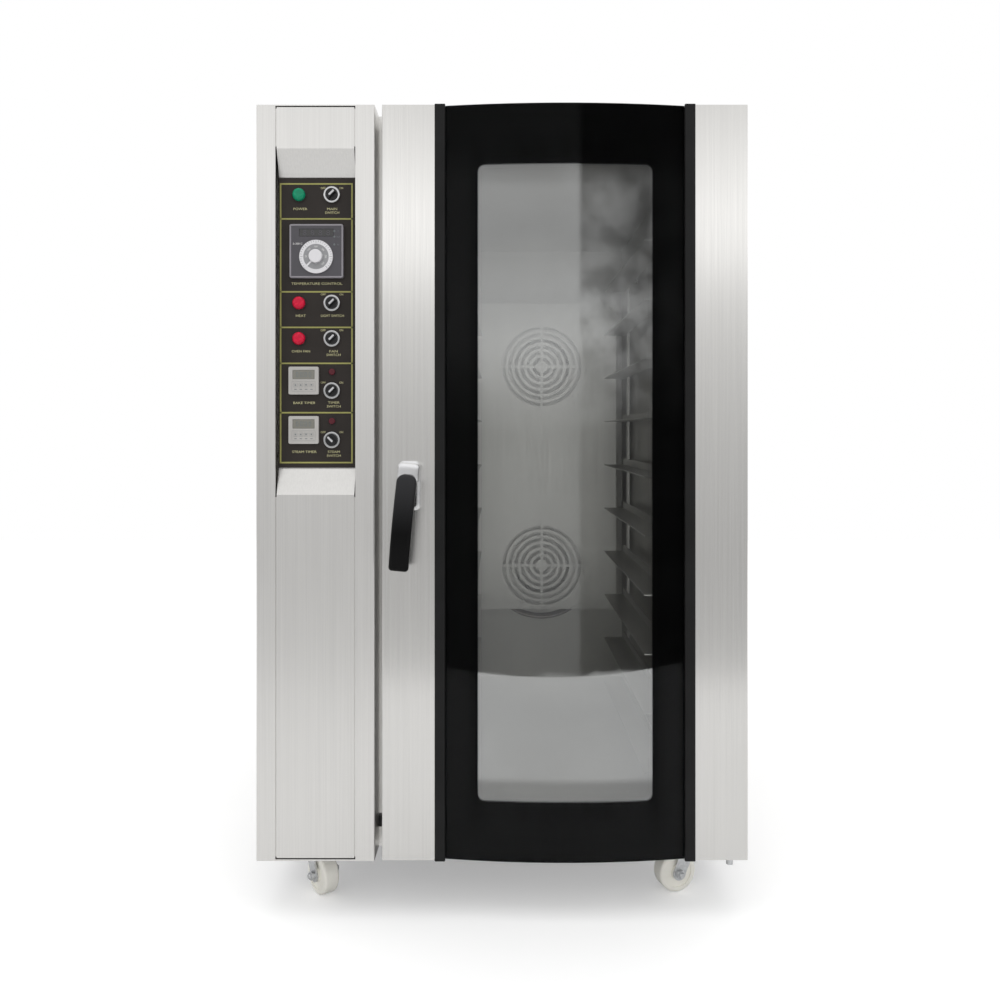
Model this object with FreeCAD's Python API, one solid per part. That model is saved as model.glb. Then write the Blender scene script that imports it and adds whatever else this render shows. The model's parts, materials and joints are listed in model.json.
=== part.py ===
import FreeCAD, Part
import math
import os

# Convection oven on casters, millimetres, +Z up, front towards -Y, X to the right seen from the front.
# Depths below are measured back from the front plane of the door stiles and the control column.

# Cabinet
CABINET_WIDTH = 880.0
CABINET_HEIGHT = 1353.0
CABINET_DEPTH = 1140.0
UNDERSIDE_HEIGHT = 105.0
FRONT_STEP = 60.0
CASING_SHEET = 1.5
FASCIA_SHEET = 2.0
CASING_FLANGE = 18.0
BASE_BAR_HEIGHT = 40.0
BASE_BAR_THICKNESS = 8.0
BASE_PAD_LENGTH = 130.0
BASE_PAD_WIDTH = 110.0
BASE_PAD_THICKNESS = 6.0
LOUVRE_LENGTH = 110.0
LOUVRE_HEIGHT = 7.0
LOUVRE_PITCH = 22.0
LOUVRE_COUNT = 10
SLIDING_GAP = 0.3
RUNNING_GAP = 0.08
HOLE_GAP = 0.3

# Control column
COLUMN_WIDTH = 212.0
COLUMN_BEND_RADIUS = 3.0
COVER_WIDTH = 139.0
COVER_SIDE_GAP = 2.0
COVER_TOP_MARGIN = 2.0
COVER_BOTTOM_MARGIN = 3.0
COVER_INSET = 0.8
COVER_SHEET = 1.5
COVER_TOP_FLAT = 74.0
COVER_UPPER_FACET = 47.0
COVER_LOWER_FACET = 47.0
COVER_LEDGE = 9.0
COVER_LEDGE_END = 4.0
PANEL_HEIGHT = 526.0
PANEL_RECESS = 18.0
PLATE_THICKNESS = 2.0
PLATE_MARGIN = 0.8

# Controls, placed from the centre line and from the top of the control plate
LAMP_COLUMN = -32.5
SELECTOR_COLUMN = 27.0
TIMER_COLUMN = -23.5
POWER_ROW = 31.5
CONTROLLER_ROW = 134.0
LIGHT_ROW = 227.0
FAN_ROW = 291.0
BAKE_TIMER_ROW = 367.0
BAKE_LAMP_ROW = 351.0
BAKE_SELECTOR_ROW = 385.0
STEAM_TIMER_ROW = 456.0
STEAM_LAMP_ROW = 440.0
STEAM_SELECTOR_ROW = 474.0
SELECTOR_RING_RADIUS = 15.0
SELECTOR_RING_HEIGHT = 6.0
SELECTOR_RING_ROUNDING = 1.2
SELECTOR_BODY_RADIUS = 11.0
SELECTOR_BODY_LENGTH = 38.0
SELECTOR_POCKET_DEPTH = 3.0
SELECTOR_KNOB_RADIUS = 10.5
SELECTOR_KNOB_HEIGHT = 6.5
SELECTOR_BAR_WIDTH = 6.5
SELECTOR_BAR_LENGTH = 19.0
SELECTOR_BAR_HEIGHT = 6.0
SELECTOR_STEM_RADIUS = 3.0
SELECTOR_STEM_LENGTH = 12.0
SELECTOR_REST_ANGLE = 45.0
LAMP_RADIUS = 11.5
LAMP_HEIGHT = 10.0
LAMP_BODY_RADIUS = 9.0
LAMP_BODY_LENGTH = 32.0
SMALL_LAMP_RADIUS = 6.0
SMALL_LAMP_HEIGHT = 4.0
SMALL_LAMP_BODY_RADIUS = 4.5
SMALL_LAMP_BODY_LENGTH = 18.0
CONTROLLER_SIZE = 96.0
CONTROLLER_BODY = 90.0
CONTROLLER_BEZEL = 8.0
CONTROLLER_BODY_LENGTH = 64.0
CONTROLLER_CORNER = 3.0
DISPLAY_WIDTH = 62.0
DISPLAY_HEIGHT = 14.0
DISPLAY_DEPTH = 1.2
DISPLAY_DROP = 15.0
DIAL_DROP = 10.6
DIAL_RADIUS = 30.0
DIAL_SKIRT = 3.0
DIAL_KNOB_RADIUS = 12.0
DIAL_KNOB_HEIGHT = 8.0
DIAL_KNOB_ROUNDING = 1.5
DIAL_RIB_WIDTH = 3.0
DIAL_RIB_HEIGHT = 1.0
DIAL_RIB_MARGIN = 2.0
DIAL_STEM_RADIUS = 3.0
DIAL_STEM_LENGTH = 18.0
TIMER_WIDTH = 54.0
TIMER_HEIGHT = 50.0
TIMER_BEZEL = 6.0
TIMER_BODY = 45.0
TIMER_BODY_LENGTH = 60.0
TIMER_DISPLAY_WIDTH = 40.0
TIMER_DISPLAY_HEIGHT = 17.0

# Door
DOOR_GAP = 13.0
DOOR_THICKNESS = 52.0
DOOR_BACK_RADIUS = 12.0
DOOR_FLOOR_GAP = 1.5
DOOR_TOP_RECESS = 16.0
STILE_WIDTH = 94.5
STILE_RETURN = 36.0
STILE_BEND_RADIUS = 3.0
TRIM_WIDTH = 19.0
TRIM_PROUD = 5.0
TRIM_DEPTH = 14.0
GLASS_THICKNESS = 5.0
GLASS_BULGE = 17.0
GLASS_EDGE_DEPTH = 1.5
GLASS_HOLD = 5.0
BORDER_THICKNESS = 0.5
BORDER_SIDE = 58.5
BORDER_END = 109.25
WINDOW_CORNER = 12.0
INNER_WINDOW_SIDE = 69.0
INNER_WINDOW_END = 20.0
INNER_GLASS_THICKNESS = 4.0
INNER_GLASS_LAP = 14.0
INNER_FRAME_LIP = 12.0
INNER_FRAME_SHEET = 2.0
SEAL_WIDTH = 12.0
SEAL_OFFSET = 4.0
SEAL_CORNER = 24.0
HINGE_INSET = 27.0
HINGE_DEPTH = 24.0
HINGE_ARM_WIDTH = 12.0
HINGE_ARM_THICKNESS = 5.0
HINGE_ARM_GRIP = 20.0
HINGE_FOOT = 11.0
HINGE_PIN_RADIUS = 5.0
HINGE_PIN_LENGTH = 27.0
HINGE_BUSH_RADIUS = 9.0
HINGE_BUSH_LENGTH = 30.0
HINGE_PLATE_HEIGHT = 50.0
HINGE_PLATE_WIDTH = 30.0
DOOR_OPENING = 115.0

# Handle and latch
HANDLE_INSET = 50.0
HANDLE_HEIGHT = 799.0
HANDLE_TILT = 5.4
BASE_PLATE_WIDTH = 39.0
BASE_PLATE_ABOVE = 22.0
BASE_PLATE_BELOW = 66.0
BASE_PLATE_THICKNESS = 8.0
BASE_PLATE_CORNER = 10.0
BASE_PLATE_ROUNDING = 2.0
HEAD_WIDTH = 38.0
HEAD_ABOVE = 19.0
HEAD_BELOW = 16.0
HEAD_DEPTH = 28.0
HEAD_CORNER = 6.0
HEAD_ROUNDING = 5.0
TANG_WIDTH = 16.0
TANG_THICKNESS = 7.0
TANG_LENGTH = 58.0
TANG_COVER = 8.0
GRIP_LENGTH = 169.0
GRIP_WIDTH = 35.0
GRIP_THICKNESS = 17.0
GRIP_TOP = -0.5
GRIP_REACH = 62.0
GRIP_BOW = 12.0
GRIP_SHOULDER = 14.0
GRIP_ROUNDING = 6.5
SPINDLE_RADIUS = 6.0
HOOK_LENGTH = 20.0
HOOK_WIDTH = 10.0
HOOK_THICKNESS = 4.0
HOOK_CLEARANCE = 2.0
HOOK_EYE = 3.0
KEEPER_THICKNESS = 3.0
KEEPER_WIDTH = 26.0
KEEPER_HEIGHT = 34.0
LATCH_TURN = 14.0

# Door switch in the gap beside the door
SWITCH_WIDTH = 26.0
SWITCH_HEIGHT = 20.0
SWITCH_THICKNESS = 6.0
SWITCH_ABOVE_UNDERSIDE = 38.0
SWITCH_LAP = 13.0
PLUNGER_RADIUS = 3.0
PLUNGER_LENGTH = 4.5
PLUNGER_TRAVEL = 1.4
PLUNGER_ROUNDING = 0.8

# Baking cavity
CAVITY_SIDE = 87.5
CAVITY_FLOOR = 60.0
CAVITY_ROOF = 63.0
MOTOR_BAY = 210.0
LINER_SHEET = 1.5
PARTITION_GAP = 76.0
BULKHEAD_SHEET = 3.0
REAR_INSULATION = 50.0
INSULATION_SETBACK = 14.0
PLENUM_DEPTH = 160.0
BAFFLE_SHEET = 1.5
BAFFLE_SIDE_GAP = 38.0
BAFFLE_ABOVE_FAN = 172.0
BAFFLE_BELOW_FAN = 118.0
BAFFLE_FLANGE = 25.0
STANDOFF_RADIUS = 6.0
STANDOFF_INSET = 12.0
FAN_FROM_END = 345.0
GUARD_HUB_RADIUS = 16.0
GUARD_RING_COUNT = 6
GUARD_RING_PITCH = 16.5
GUARD_SLOT = 9.0
GUARD_SPOKE = 7.0
FAN_RADIUS = 120.0
FAN_WIDTH = 62.0
FAN_BEHIND_BAFFLE = 24.0
FAN_BLADES = 14
FAN_SHEET = 2.0
FAN_EYE_RADIUS = 80.0
FAN_HUB_RADIUS = 20.0
FAN_SHAFT_RADIUS = 7.0
MOTOR_RADIUS = 64.0
MOTOR_LENGTH = 104.0
MOTOR_FLANGE_RADIUS = 78.0
MOTOR_FLANGE = 6.0
MOTOR_FIN_COUNT = 6
MOTOR_FIN_HEIGHT = 6.0
HEATER_RADIUS = 146.0
HEATER_PITCH = 16.0
HEATER_TUBE_RADIUS = 5.0
HEATER_TURNS = 3
HEATER_GAP_ANGLE = 14.0
HEATER_LEG_BEYOND = 18.0
TRAY_LEVELS = 10
FIRST_TRAY = 52.0
TRAY_TOP_ROOM = 152.0
RACK_WALL_GAP = 28.0
RACK_LEDGE = 50.0
RACK_LIP = 16.0
RACK_SHEET = 2.0
RACK_FRONT = 60.0
RACK_LENGTH = 640.0
RACK_POST_WIDTH = 24.0
RACK_POST_THICKNESS = 5.0
RACK_POST_INSET = 40.0
RACK_PIN_RADIUS = 6.0
OVEN_LAMP_RADIUS = 30.0
OVEN_LAMP_DEPTH = 46.0
OVEN_LAMP_BACK = 300.0
OVEN_LAMP_DROP = 70.0
OVEN_LAMP_FLANGE = 6.0
OVEN_LAMP_SHEET = 2.0

# Services
FLUE_RADIUS = 38.0
FLUE_WALL = 1.5
FLUE_REACH = 40.0
FLUE_FLANGE_RADIUS = 54.0
FLUE_FLANGE = 2.0
FLUE_FROM_RIGHT = 90.0
FLUE_BELOW_ROOF = 215.0
WATER_PIPE_RADIUS = 6.0
WATER_THREAD_RADIUS = 13.2
WATER_THREAD_LENGTH = 22.0
WATER_NUT_RADIUS = 19.0
WATER_NUT = 7.0
WATER_VALVE = 40.0
WATER_COIL_RADIUS = 16.0
WATER_COIL = 28.0
WATER_FROM_LEFT = 120.0
GLAND_RADIUS = 17.0
GLAND_BORE_RADIUS = 9.0
GLAND_REACH = 30.0
GLAND_CORNER = 23.0
GLAND_ABOVE_UNDERSIDE = 150.0
GLAND_FROM_LEFT = 110.0
GEAR_WIDTH = 45.0
GEAR_HEIGHT = 78.0
GEAR_DEPTH = 84.0
GEAR_COUNT = 4
GEAR_STEP = 14.0
GEAR_NOSE = 25.0
GEAR_PITCH = 58.0
GEAR_ABOVE_UNDERSIDE = 520.0
GEAR_FROM_FASCIA = 330.0
TERMINAL_LENGTH = 240.0

# Casters
WHEEL_RADIUS = 37.5
WHEEL_WIDTH = 30.0
WHEEL_ROUNDING = 5.0
WHEEL_HUB_RADIUS = 14.0
WHEEL_HUB_PROUD = 2.0
AXLE_RADIUS = 5.0
AXLE_HEAD_RADIUS = 8.5
AXLE_HEAD = 5.0
CASTER_INSET = 86.0
CASTER_FRONT = 58.0
CASTER_REAR = 58.0
CASTER_TRAIL = 25.0
CASTER_PLATE_LENGTH = 95.0
CASTER_PLATE_WIDTH = 70.0
CASTER_PLATE = 4.0
CASTER_RACE_RADIUS = 24.0
CASTER_RACE = 6.0
CROWN_RADIUS = 27.0
CROWN = 7.0
KINGPIN_RADIUS = 7.0
RIVET_RADIUS = 12.0
RIVET = 3.5
FORK_SHEET = 3.0
FORK_SIDE_GAP = 0.6
FORK_BOSS_RADIUS = 13.0
SWIVEL_ANGLES = {"front_left": 38.0, "front_right": -72.0, "rear_left": 160.0, "rear_right": -165.0}

V = FreeCAD.Vector
X_AXIS = V(1, 0, 0)
Y_AXIS = V(0, 1, 0)
Z_AXIS = V(0, 0, 1)

# Places that follow from the sizes above
HALF_WIDTH = CABINET_WIDTH / 2
TOP = UNDERSIDE_HEIGHT + CABINET_HEIGHT
UNDER = UNDERSIDE_HEIGHT
FASCIA_BACK = FRONT_STEP + FASCIA_SHEET
CASE_BACK = FRONT_STEP + CABINET_DEPTH
REAR_FACE = CASE_BACK + CASING_SHEET
BASE_TOP = UNDER + BASE_BAR_HEIGHT
COLUMN_LEFT = -HALF_WIDTH
COLUMN_RIGHT = COLUMN_LEFT + COLUMN_WIDTH
COLUMN_MIDDLE = COLUMN_LEFT + COLUMN_WIDTH / 2
COVER_LEFT = COLUMN_MIDDLE - COVER_WIDTH / 2
COVER_RIGHT = COLUMN_MIDDLE + COVER_WIDTH / 2
COVER_TOP = TOP - COVER_TOP_MARGIN - COVER_SIDE_GAP
COVER_BOTTOM = UNDER + COVER_BOTTOM_MARGIN + COVER_SIDE_GAP
RECESS_FRONT = COVER_INSET + PANEL_RECESS
RECESS_TOP = COVER_TOP - COVER_TOP_FLAT - COVER_UPPER_FACET
RECESS_BOTTOM = RECESS_TOP - PANEL_HEIGHT
PLATE_FRONT = RECESS_FRONT - PLATE_THICKNESS
PLATE_TOP = RECESS_TOP - PLATE_MARGIN
PLATE_BOTTOM = RECESS_BOTTOM + PLATE_MARGIN
DOOR_LEFT = COLUMN_RIGHT + DOOR_GAP
DOOR_RIGHT = HALF_WIDTH
DOOR_MIDDLE = (DOOR_LEFT + DOOR_RIGHT) / 2
DOOR_BOTTOM = UNDER + DOOR_FLOOR_GAP
DOOR_TOP = TOP
DOOR_CENTRE_HEIGHT = (DOOR_BOTTOM + DOOR_TOP) / 2
PAN_BOTTOM = DOOR_BOTTOM + DOOR_FLOOR_GAP
PAN_TOP = DOOR_TOP - DOOR_TOP_RECESS
PAN_FRONT = TRIM_DEPTH - TRIM_PROUD
GLASS_HALF = (DOOR_RIGHT - DOOR_LEFT) / 2 - STILE_WIDTH - TRIM_WIDTH
GLASS_REACH = GLASS_HALF + GLASS_HOLD
GLASS_RADIUS = (GLASS_REACH ** 2 + GLASS_BULGE ** 2) / (2 * GLASS_BULGE)
GLASS_CENTRE = GLASS_EDGE_DEPTH - GLASS_BULGE + GLASS_RADIUS
BORDER_RADIUS = GLASS_RADIUS - GLASS_THICKNESS - RUNNING_GAP
WINDOW_WIDTH = 2 * (GLASS_HALF - BORDER_SIDE)
WINDOW_HEIGHT = DOOR_TOP - DOOR_BOTTOM - 2 * BORDER_END
HINGE_X = DOOR_RIGHT - HINGE_INSET
HANDLE_X = DOOR_LEFT + HANDLE_INSET
CAVITY_LEFT = DOOR_LEFT + CAVITY_SIDE
CAVITY_RIGHT = DOOR_RIGHT - CAVITY_SIDE
CAVITY_WIDTH = CAVITY_RIGHT - CAVITY_LEFT
CAVITY_BOTTOM = UNDER + CAVITY_FLOOR
CAVITY_TOP = TOP - CAVITY_ROOF
CAVITY_HEIGHT = CAVITY_TOP - CAVITY_BOTTOM
CAVITY_CENTRE_HEIGHT = (CAVITY_BOTTOM + CAVITY_TOP) / 2
CAVITY_BACK = CASE_BACK - MOTOR_BAY
INNER_WINDOW_WIDTH = CAVITY_WIDTH - 2 * INNER_WINDOW_SIDE
INNER_WINDOW_HEIGHT = CAVITY_HEIGHT - 2 * INNER_WINDOW_END
RACK_HALF_WIDTH = CAVITY_WIDTH / 2 - RACK_WALL_GAP
TRAY_PITCH = (CAVITY_HEIGHT - FIRST_TRAY - TRAY_TOP_ROOM) / (TRAY_LEVELS - 1)
LINER_BACK = CAVITY_BACK + LINER_SHEET
BULKHEAD_FRONT = LINER_BACK + REAR_INSULATION
BULKHEAD_BACK = BULKHEAD_FRONT + BULKHEAD_SHEET
PARTITION_RIGHT = CAVITY_LEFT - LINER_SHEET - PARTITION_GAP
PARTITION_LEFT = PARTITION_RIGHT - CASING_SHEET
INNER_RIGHT = HALF_WIDTH - 2 * CASING_SHEET
BAFFLE_FRONT = CAVITY_BACK - PLENUM_DEPTH
BAFFLE_BACK = BAFFLE_FRONT + BAFFLE_SHEET
BAFFLE_WIDTH = CAVITY_WIDTH - 2 * BAFFLE_SIDE_GAP
FAN_FRONT = BAFFLE_BACK + FAN_BEHIND_BAFFLE
FAN_BACK = FAN_FRONT + FAN_WIDTH
FAN_HEIGHTS = {
    "upper": CAVITY_TOP - FAN_FROM_END,
    "lower": CAVITY_BOTTOM + FAN_FROM_END,
}
HEATER_FIRST = FAN_FRONT + HEATER_TUBE_RADIUS
HEATER_LEG_ANGLE = HEATER_GAP_ANGLE / 2
FLUE_X = CAVITY_RIGHT - FLUE_FROM_RIGHT
FLUE_HEIGHT = CAVITY_TOP - FLUE_BELOW_ROOF
WATER_X = -HALF_WIDTH + WATER_FROM_LEFT
WATER_HEIGHT = FAN_HEIGHTS["lower"]
WATER_DEPTH = (FAN_FRONT + FAN_BACK) / 2
GLAND_X = -HALF_WIDTH + GLAND_FROM_LEFT
GLAND_HEIGHT = UNDER + GLAND_ABOVE_UNDERSIDE
OVEN_LAMP_HEIGHT = CAVITY_TOP - OVEN_LAMP_DROP
OVEN_LAMP_DEPTH_AT = FASCIA_BACK + OVEN_LAMP_BACK
HOOK_FRONT = FASCIA_BACK + KEEPER_THICKNESS + 2 * SLIDING_GAP
SEAL_BACK = FRONT_STEP - SLIDING_GAP
SWITCH_BOTTOM = UNDER + SWITCH_ABOVE_UNDERSIDE
SWITCH_LEFT = DOOR_LEFT + SWITCH_LAP - SWITCH_WIDTH
SWITCH_FRONT = FRONT_STEP - SWITCH_THICKNESS
PLUNGER_X = DOOR_LEFT + SWITCH_LAP / 2
PLUNGER_HEIGHT = SWITCH_BOTTOM + SWITCH_HEIGHT / 2
PLUNGER_FRONT = DOOR_THICKNESS + SLIDING_GAP
WHEEL_FACE = WHEEL_WIDTH / 2 + WHEEL_HUB_PROUD
FORK_INSIDE = WHEEL_FACE + FORK_SIDE_GAP
RACE_BOTTOM = UNDER - CASTER_PLATE - CASTER_RACE
CROWN_TOP = RACE_BOTTOM - SLIDING_GAP
CROWN_BOTTOM = CROWN_TOP - CROWN
RIVET_TOP = CROWN_BOTTOM - SLIDING_GAP
CASTER_PLACES = {
    "front_left": (-HALF_WIDTH + CASTER_INSET, FRONT_STEP + CASTER_FRONT),
    "front_right": (HALF_WIDTH - CASTER_INSET, FRONT_STEP + CASTER_FRONT),
    "rear_left": (-HALF_WIDTH + CASTER_INSET, CASE_BACK - CASTER_REAR),
    "rear_right": (HALF_WIDTH - CASTER_INSET, CASE_BACK - CASTER_REAR),
}
SELECTOR_ROWS = {
    "power_knob": POWER_ROW,
    "light_knob": LIGHT_ROW,
    "fan_knob": FAN_ROW,
    "bake_timer_knob": BAKE_SELECTOR_ROW,
    "steam_timer_knob": STEAM_SELECTOR_ROW,
}
SELECTOR_REST = {name: SELECTOR_REST_ANGLE for name in SELECTOR_ROWS}
SELECTOR_REST["steam_timer_knob"] = -SELECTOR_REST_ANGLE
TIMER_ROWS = (BAKE_TIMER_ROW, STEAM_TIMER_ROW)
RED_LAMP_ROWS = (LIGHT_ROW, FAN_ROW)
SMALL_LAMP_ROWS = (BAKE_LAMP_ROW, STEAM_LAMP_ROW)

# The origin lies on the floor under the middle of the whole oven, handle and flue included.
FRONT_MOST = -GRIP_REACH
REAR_MOST = REAR_FACE + FLUE_REACH
ORIGIN_DEPTH = (FRONT_MOST + REAR_MOST) / 2


def block(x0, x1, y0, y1, z0, z1):
    """Box between two corners."""
    return Part.makeBox(x1 - x0, y1 - y0, z1 - z0, V(x0, y0, z0))


def rod(radius, start, end):
    """Cylinder from one point to another."""
    line = end.sub(start)
    return Part.makeCylinder(radius, line.Length, start, line)


def disc(radius, x, z, y0, y1):
    """Cylinder along the depth of the oven."""
    return rod(radius, V(x, y0, z), V(x, y1, z))


def post(radius, x, y, z0, z1):
    """Upright cylinder."""
    return rod(radius, V(x, y, z0), V(x, y, z1))


def prism(points, direction):
    """Straight-sided outline pushed along a direction."""
    wire = Part.makePolygon(points + points[:1])
    return Part.Face(wire).extrude(direction)


def joined(shapes):
    """Shapes welded to one solid."""
    whole = shapes[0].fuse(shapes[1:]).removeSplitter()
    return whole.Solids[0]


def cut(shape, tools):
    """Shape less the tools."""
    return shape.cut(tools).Solids[0]


def edges_along(shape, axis):
    """Straight edges of a shape that run along an axis."""
    found = []
    for edge in shape.Edges:
        if isinstance(edge.Curve, Part.Line) and abs(edge.tangentAt(edge.FirstParameter).dot(axis)) > 0.999:
            found.append(edge)
    return found


def rounded(shape, radius, edges):
    """Shape with the given edges rounded."""
    return shape.makeFillet(radius, edges).Solids[0]


def rounded_slab(x0, x1, y0, y1, z0, z1, radius):
    """Upright plate, facing the front, with round corners."""
    slab = block(x0, x1, y0, y1, z0, z1)
    return rounded(slab, radius, edges_along(slab, Y_AXIS))


def turned(shape, point, axis, angle):
    """Copy of a shape turned about an axis, in degrees."""
    copy = shape.copy()
    copy.rotate(point, axis, angle)
    return copy


def bow(radius_out, radius_in, half, z0, z1):
    """Upright sheet bowed to the front between two radii, as wide as twice the half width."""
    ring = post(radius_out, DOOR_MIDDLE, GLASS_CENTRE, z0, z1)
    ring = ring.cut(post(radius_in, DOOR_MIDDLE, GLASS_CENTRE, z0 - 1, z1 + 1))
    front = GLASS_CENTRE - radius_out - 1
    back = GLASS_CENTRE - math.sqrt(radius_in ** 2 - half ** 2) + 1
    strip = block(DOOR_MIDDLE - half, DOOR_MIDDLE + half, front, back, z0, z1)
    return ring.common(strip).Solids[0]


# Casing

def louvres(x, z, axis, y):
    """Column of vent slots, as solids to cut away."""
    slots = []
    for row in range(LOUVRE_COUNT):
        low = z + row * LOUVRE_PITCH
        if axis == X_AXIS:
            slots.append(block(x - 5, x + 5, y, y + LOUVRE_LENGTH, low, low + LOUVRE_HEIGHT))
        else:
            slots.append(block(x, x + LOUVRE_LENGTH, y - 5, y + 5, low, low + LOUVRE_HEIGHT))
    return slots


def side_panel(side):
    """Side of the casing with a rear flange, and vents on the electrics side."""
    outer = side * HALF_WIDTH
    inner = side * (HALF_WIDTH - CASING_SHEET)
    lip = side * (HALF_WIDTH - CASING_FLANGE)
    sheet = block(min(outer, inner), max(outer, inner), FRONT_STEP, CASE_BACK, UNDER, TOP - CASING_SHEET)
    fold = CASE_BACK - CASING_SHEET
    flange = block(min(inner, lip), max(inner, lip), fold, CASE_BACK, BASE_TOP, TOP - CASING_FLANGE)
    panel = joined([sheet, flange])
    if side < 0:
        panel = cut(panel, louvres(outer, BASE_TOP + LOUVRE_LENGTH, X_AXIS, CASE_BACK - 3 * LOUVRE_LENGTH))
    return panel


def top_panel():
    """Top sheet with a flange down inside each side."""
    sheet = block(-HALF_WIDTH, HALF_WIDTH, FRONT_STEP, CASE_BACK, TOP - CASING_SHEET, TOP)
    pieces = [sheet]
    for side in (-1, 1):
        outer = side * (HALF_WIDTH - CASING_SHEET)
        inner = side * INNER_RIGHT
        low, high = TOP - CASING_FLANGE + SLIDING_GAP, TOP - CASING_SHEET
        pieces.append(block(min(outer, inner), max(outer, inner), FASCIA_BACK, CASE_BACK, low, high))
    return joined(pieces)


def rear_panel():
    """Rear sheet with vents for the motors and holes for the services."""
    sheet = block(-HALF_WIDTH, HALF_WIDTH, CASE_BACK, REAR_FACE, UNDER, TOP)
    tools = []
    for height in FAN_HEIGHTS.values():
        lowest = height - LOUVRE_COUNT * LOUVRE_PITCH / 2
        tools += louvres(DOOR_MIDDLE - LOUVRE_LENGTH / 2, lowest, Y_AXIS, CASE_BACK)
    tools.append(disc(FLUE_RADIUS + HOLE_GAP, FLUE_X, FLUE_HEIGHT, CASE_BACK - 1, REAR_FACE + 1))
    tools.append(disc(WATER_THREAD_RADIUS + HOLE_GAP, WATER_X, WATER_HEIGHT, CASE_BACK - 1, REAR_FACE + 1))
    tools.append(disc(GLAND_RADIUS + HOLE_GAP, GLAND_X, GLAND_HEIGHT, CASE_BACK - 1, REAR_FACE + 1))
    return cut(sheet, tools)


def base_frame():
    """Flat bars on edge under the cabinet, with pads over the casters and a floor sheet on the bars."""
    left = -HALF_WIDTH + CASING_SHEET
    right = -left
    front = FASCIA_BACK
    back = CASE_BACK - CASING_SHEET
    bar = BASE_BAR_THICKNESS
    sheet_under = BASE_TOP - CASING_SHEET
    middle = (front + back) / 2
    pieces = [
        block(left, left + bar, front, back, UNDER, sheet_under),
        block(right - bar, right, front, back, UNDER, sheet_under),
        block(left + bar, right - bar, front, front + bar, UNDER, sheet_under),
        block(left + bar, right - bar, back - bar, back, UNDER, sheet_under),
        block(left + bar, right - bar, middle - bar / 2, middle + bar / 2, UNDER, sheet_under),
        block(left, right, front, back, sheet_under, BASE_TOP),
    ]
    for x, y in CASTER_PLACES.values():
        side = 1 if x > 0 else -1
        end = -1 if y < middle else 1
        outer = side * (right - bar)
        inner = outer - side * BASE_PAD_LENGTH
        near = front + bar if end < 0 else back - bar
        far = near - end * BASE_PAD_WIDTH
        low, high = UNDER, UNDER + BASE_PAD_THICKNESS
        pieces.append(block(min(outer, inner), max(outer, inner), min(near, far), max(near, far), low, high))
    return pieces


def sheet_around(x0, x1, hole):
    """Strips of the front sheet around a rectangular hole."""
    left, right, bottom, top = hole
    low, high = UNDER, TOP - CASING_SHEET
    spans = [(x0, x1, low, bottom), (x0, x1, top, high), (x0, left, bottom, top), (right, x1, bottom, top)]
    return [block(a, b, FRONT_STEP, FASCIA_BACK, c, d) for a, b, c, d in spans if b > a and d > c]


def front_fascia():
    """Front frame of strips around the cavity mouth, the opening behind the column and the latch hole."""
    side = HALF_WIDTH - CASING_SHEET
    edge = block(-side, COVER_LEFT, FRONT_STEP, FASCIA_BACK, UNDER, TOP - CASING_SHEET)
    service = (COVER_LEFT, COVER_RIGHT, BASE_TOP, PLATE_TOP)
    reach = math.hypot(HOOK_LENGTH, HOOK_WIDTH / 2) + HOOK_CLEARANCE
    latch = (HANDLE_X - reach, HANDLE_X + reach, HANDLE_HEIGHT - reach, HANDLE_HEIGHT + reach)
    mouth = (CAVITY_LEFT, CAVITY_RIGHT, CAVITY_BOTTOM, CAVITY_TOP)
    arm_low, arm_high = upper_arm_heights()
    half = HINGE_ARM_WIDTH / 2 + HOLE_GAP
    arm = (HINGE_X - half, HINGE_X + half, arm_low - HOLE_GAP, arm_high + HOLE_GAP)
    strips = [edge]
    strips += sheet_around(COVER_LEFT, COVER_RIGHT, service)
    strips += sheet_around(COVER_RIGHT, CAVITY_LEFT, latch)
    strips += sheet_around(CAVITY_LEFT, CAVITY_RIGHT, mouth)
    strips += sheet_around(CAVITY_RIGHT, side, arm)
    return strips


def inner_partition():
    """Wall beside the electrics, and bulkhead behind the cavity that carries the motors."""
    high = TOP - CASING_FLANGE
    wall = block(PARTITION_LEFT, PARTITION_RIGHT, FASCIA_BACK, BULKHEAD_FRONT, BASE_TOP, high)
    wall = cut(wall, [water_hole(PARTITION_LEFT - 1, PARTITION_RIGHT + 1)])
    bulkhead = block(PARTITION_LEFT, INNER_RIGHT, BULKHEAD_FRONT, BULKHEAD_BACK, BASE_TOP, high)
    tools = [disc(FLUE_RADIUS + HOLE_GAP, FLUE_X, FLUE_HEIGHT, BULKHEAD_FRONT - 1, BULKHEAD_BACK + 1)]
    for height in FAN_HEIGHTS.values():
        tools.append(disc(2 * FAN_SHAFT_RADIUS, DOOR_MIDDLE, height, BULKHEAD_FRONT - 1, BULKHEAD_BACK + 1))
        tools += heater_holes(height, BULKHEAD_FRONT - 1, BULKHEAD_BACK + 1)
    return [wall, cut(bulkhead, tools)]


# Cavity

def heater_holes(height, y0, y1):
    """Holes for the legs of one fan's heating elements."""
    holes = []
    for turn in range(HEATER_TURNS):
        for x, z in heater_legs(height, turn):
            holes.append(disc(HEATER_TUBE_RADIUS + HOLE_GAP, x, z, y0, y1))
    return holes


def heater_legs(height, turn):
    """Centres of the two legs of one heating ring, each ring turned a little further round."""
    centre_angle = 180 + (turn - (HEATER_TURNS - 1) / 2) * 2 * HEATER_GAP_ANGLE
    places = []
    for side in (-1, 1):
        angle = math.radians(centre_angle + side * HEATER_LEG_ANGLE)
        across, up = HEATER_RADIUS * math.cos(angle), HEATER_RADIUS * math.sin(angle)
        places.append((DOOR_MIDDLE + across, height + up))
    return places


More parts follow.
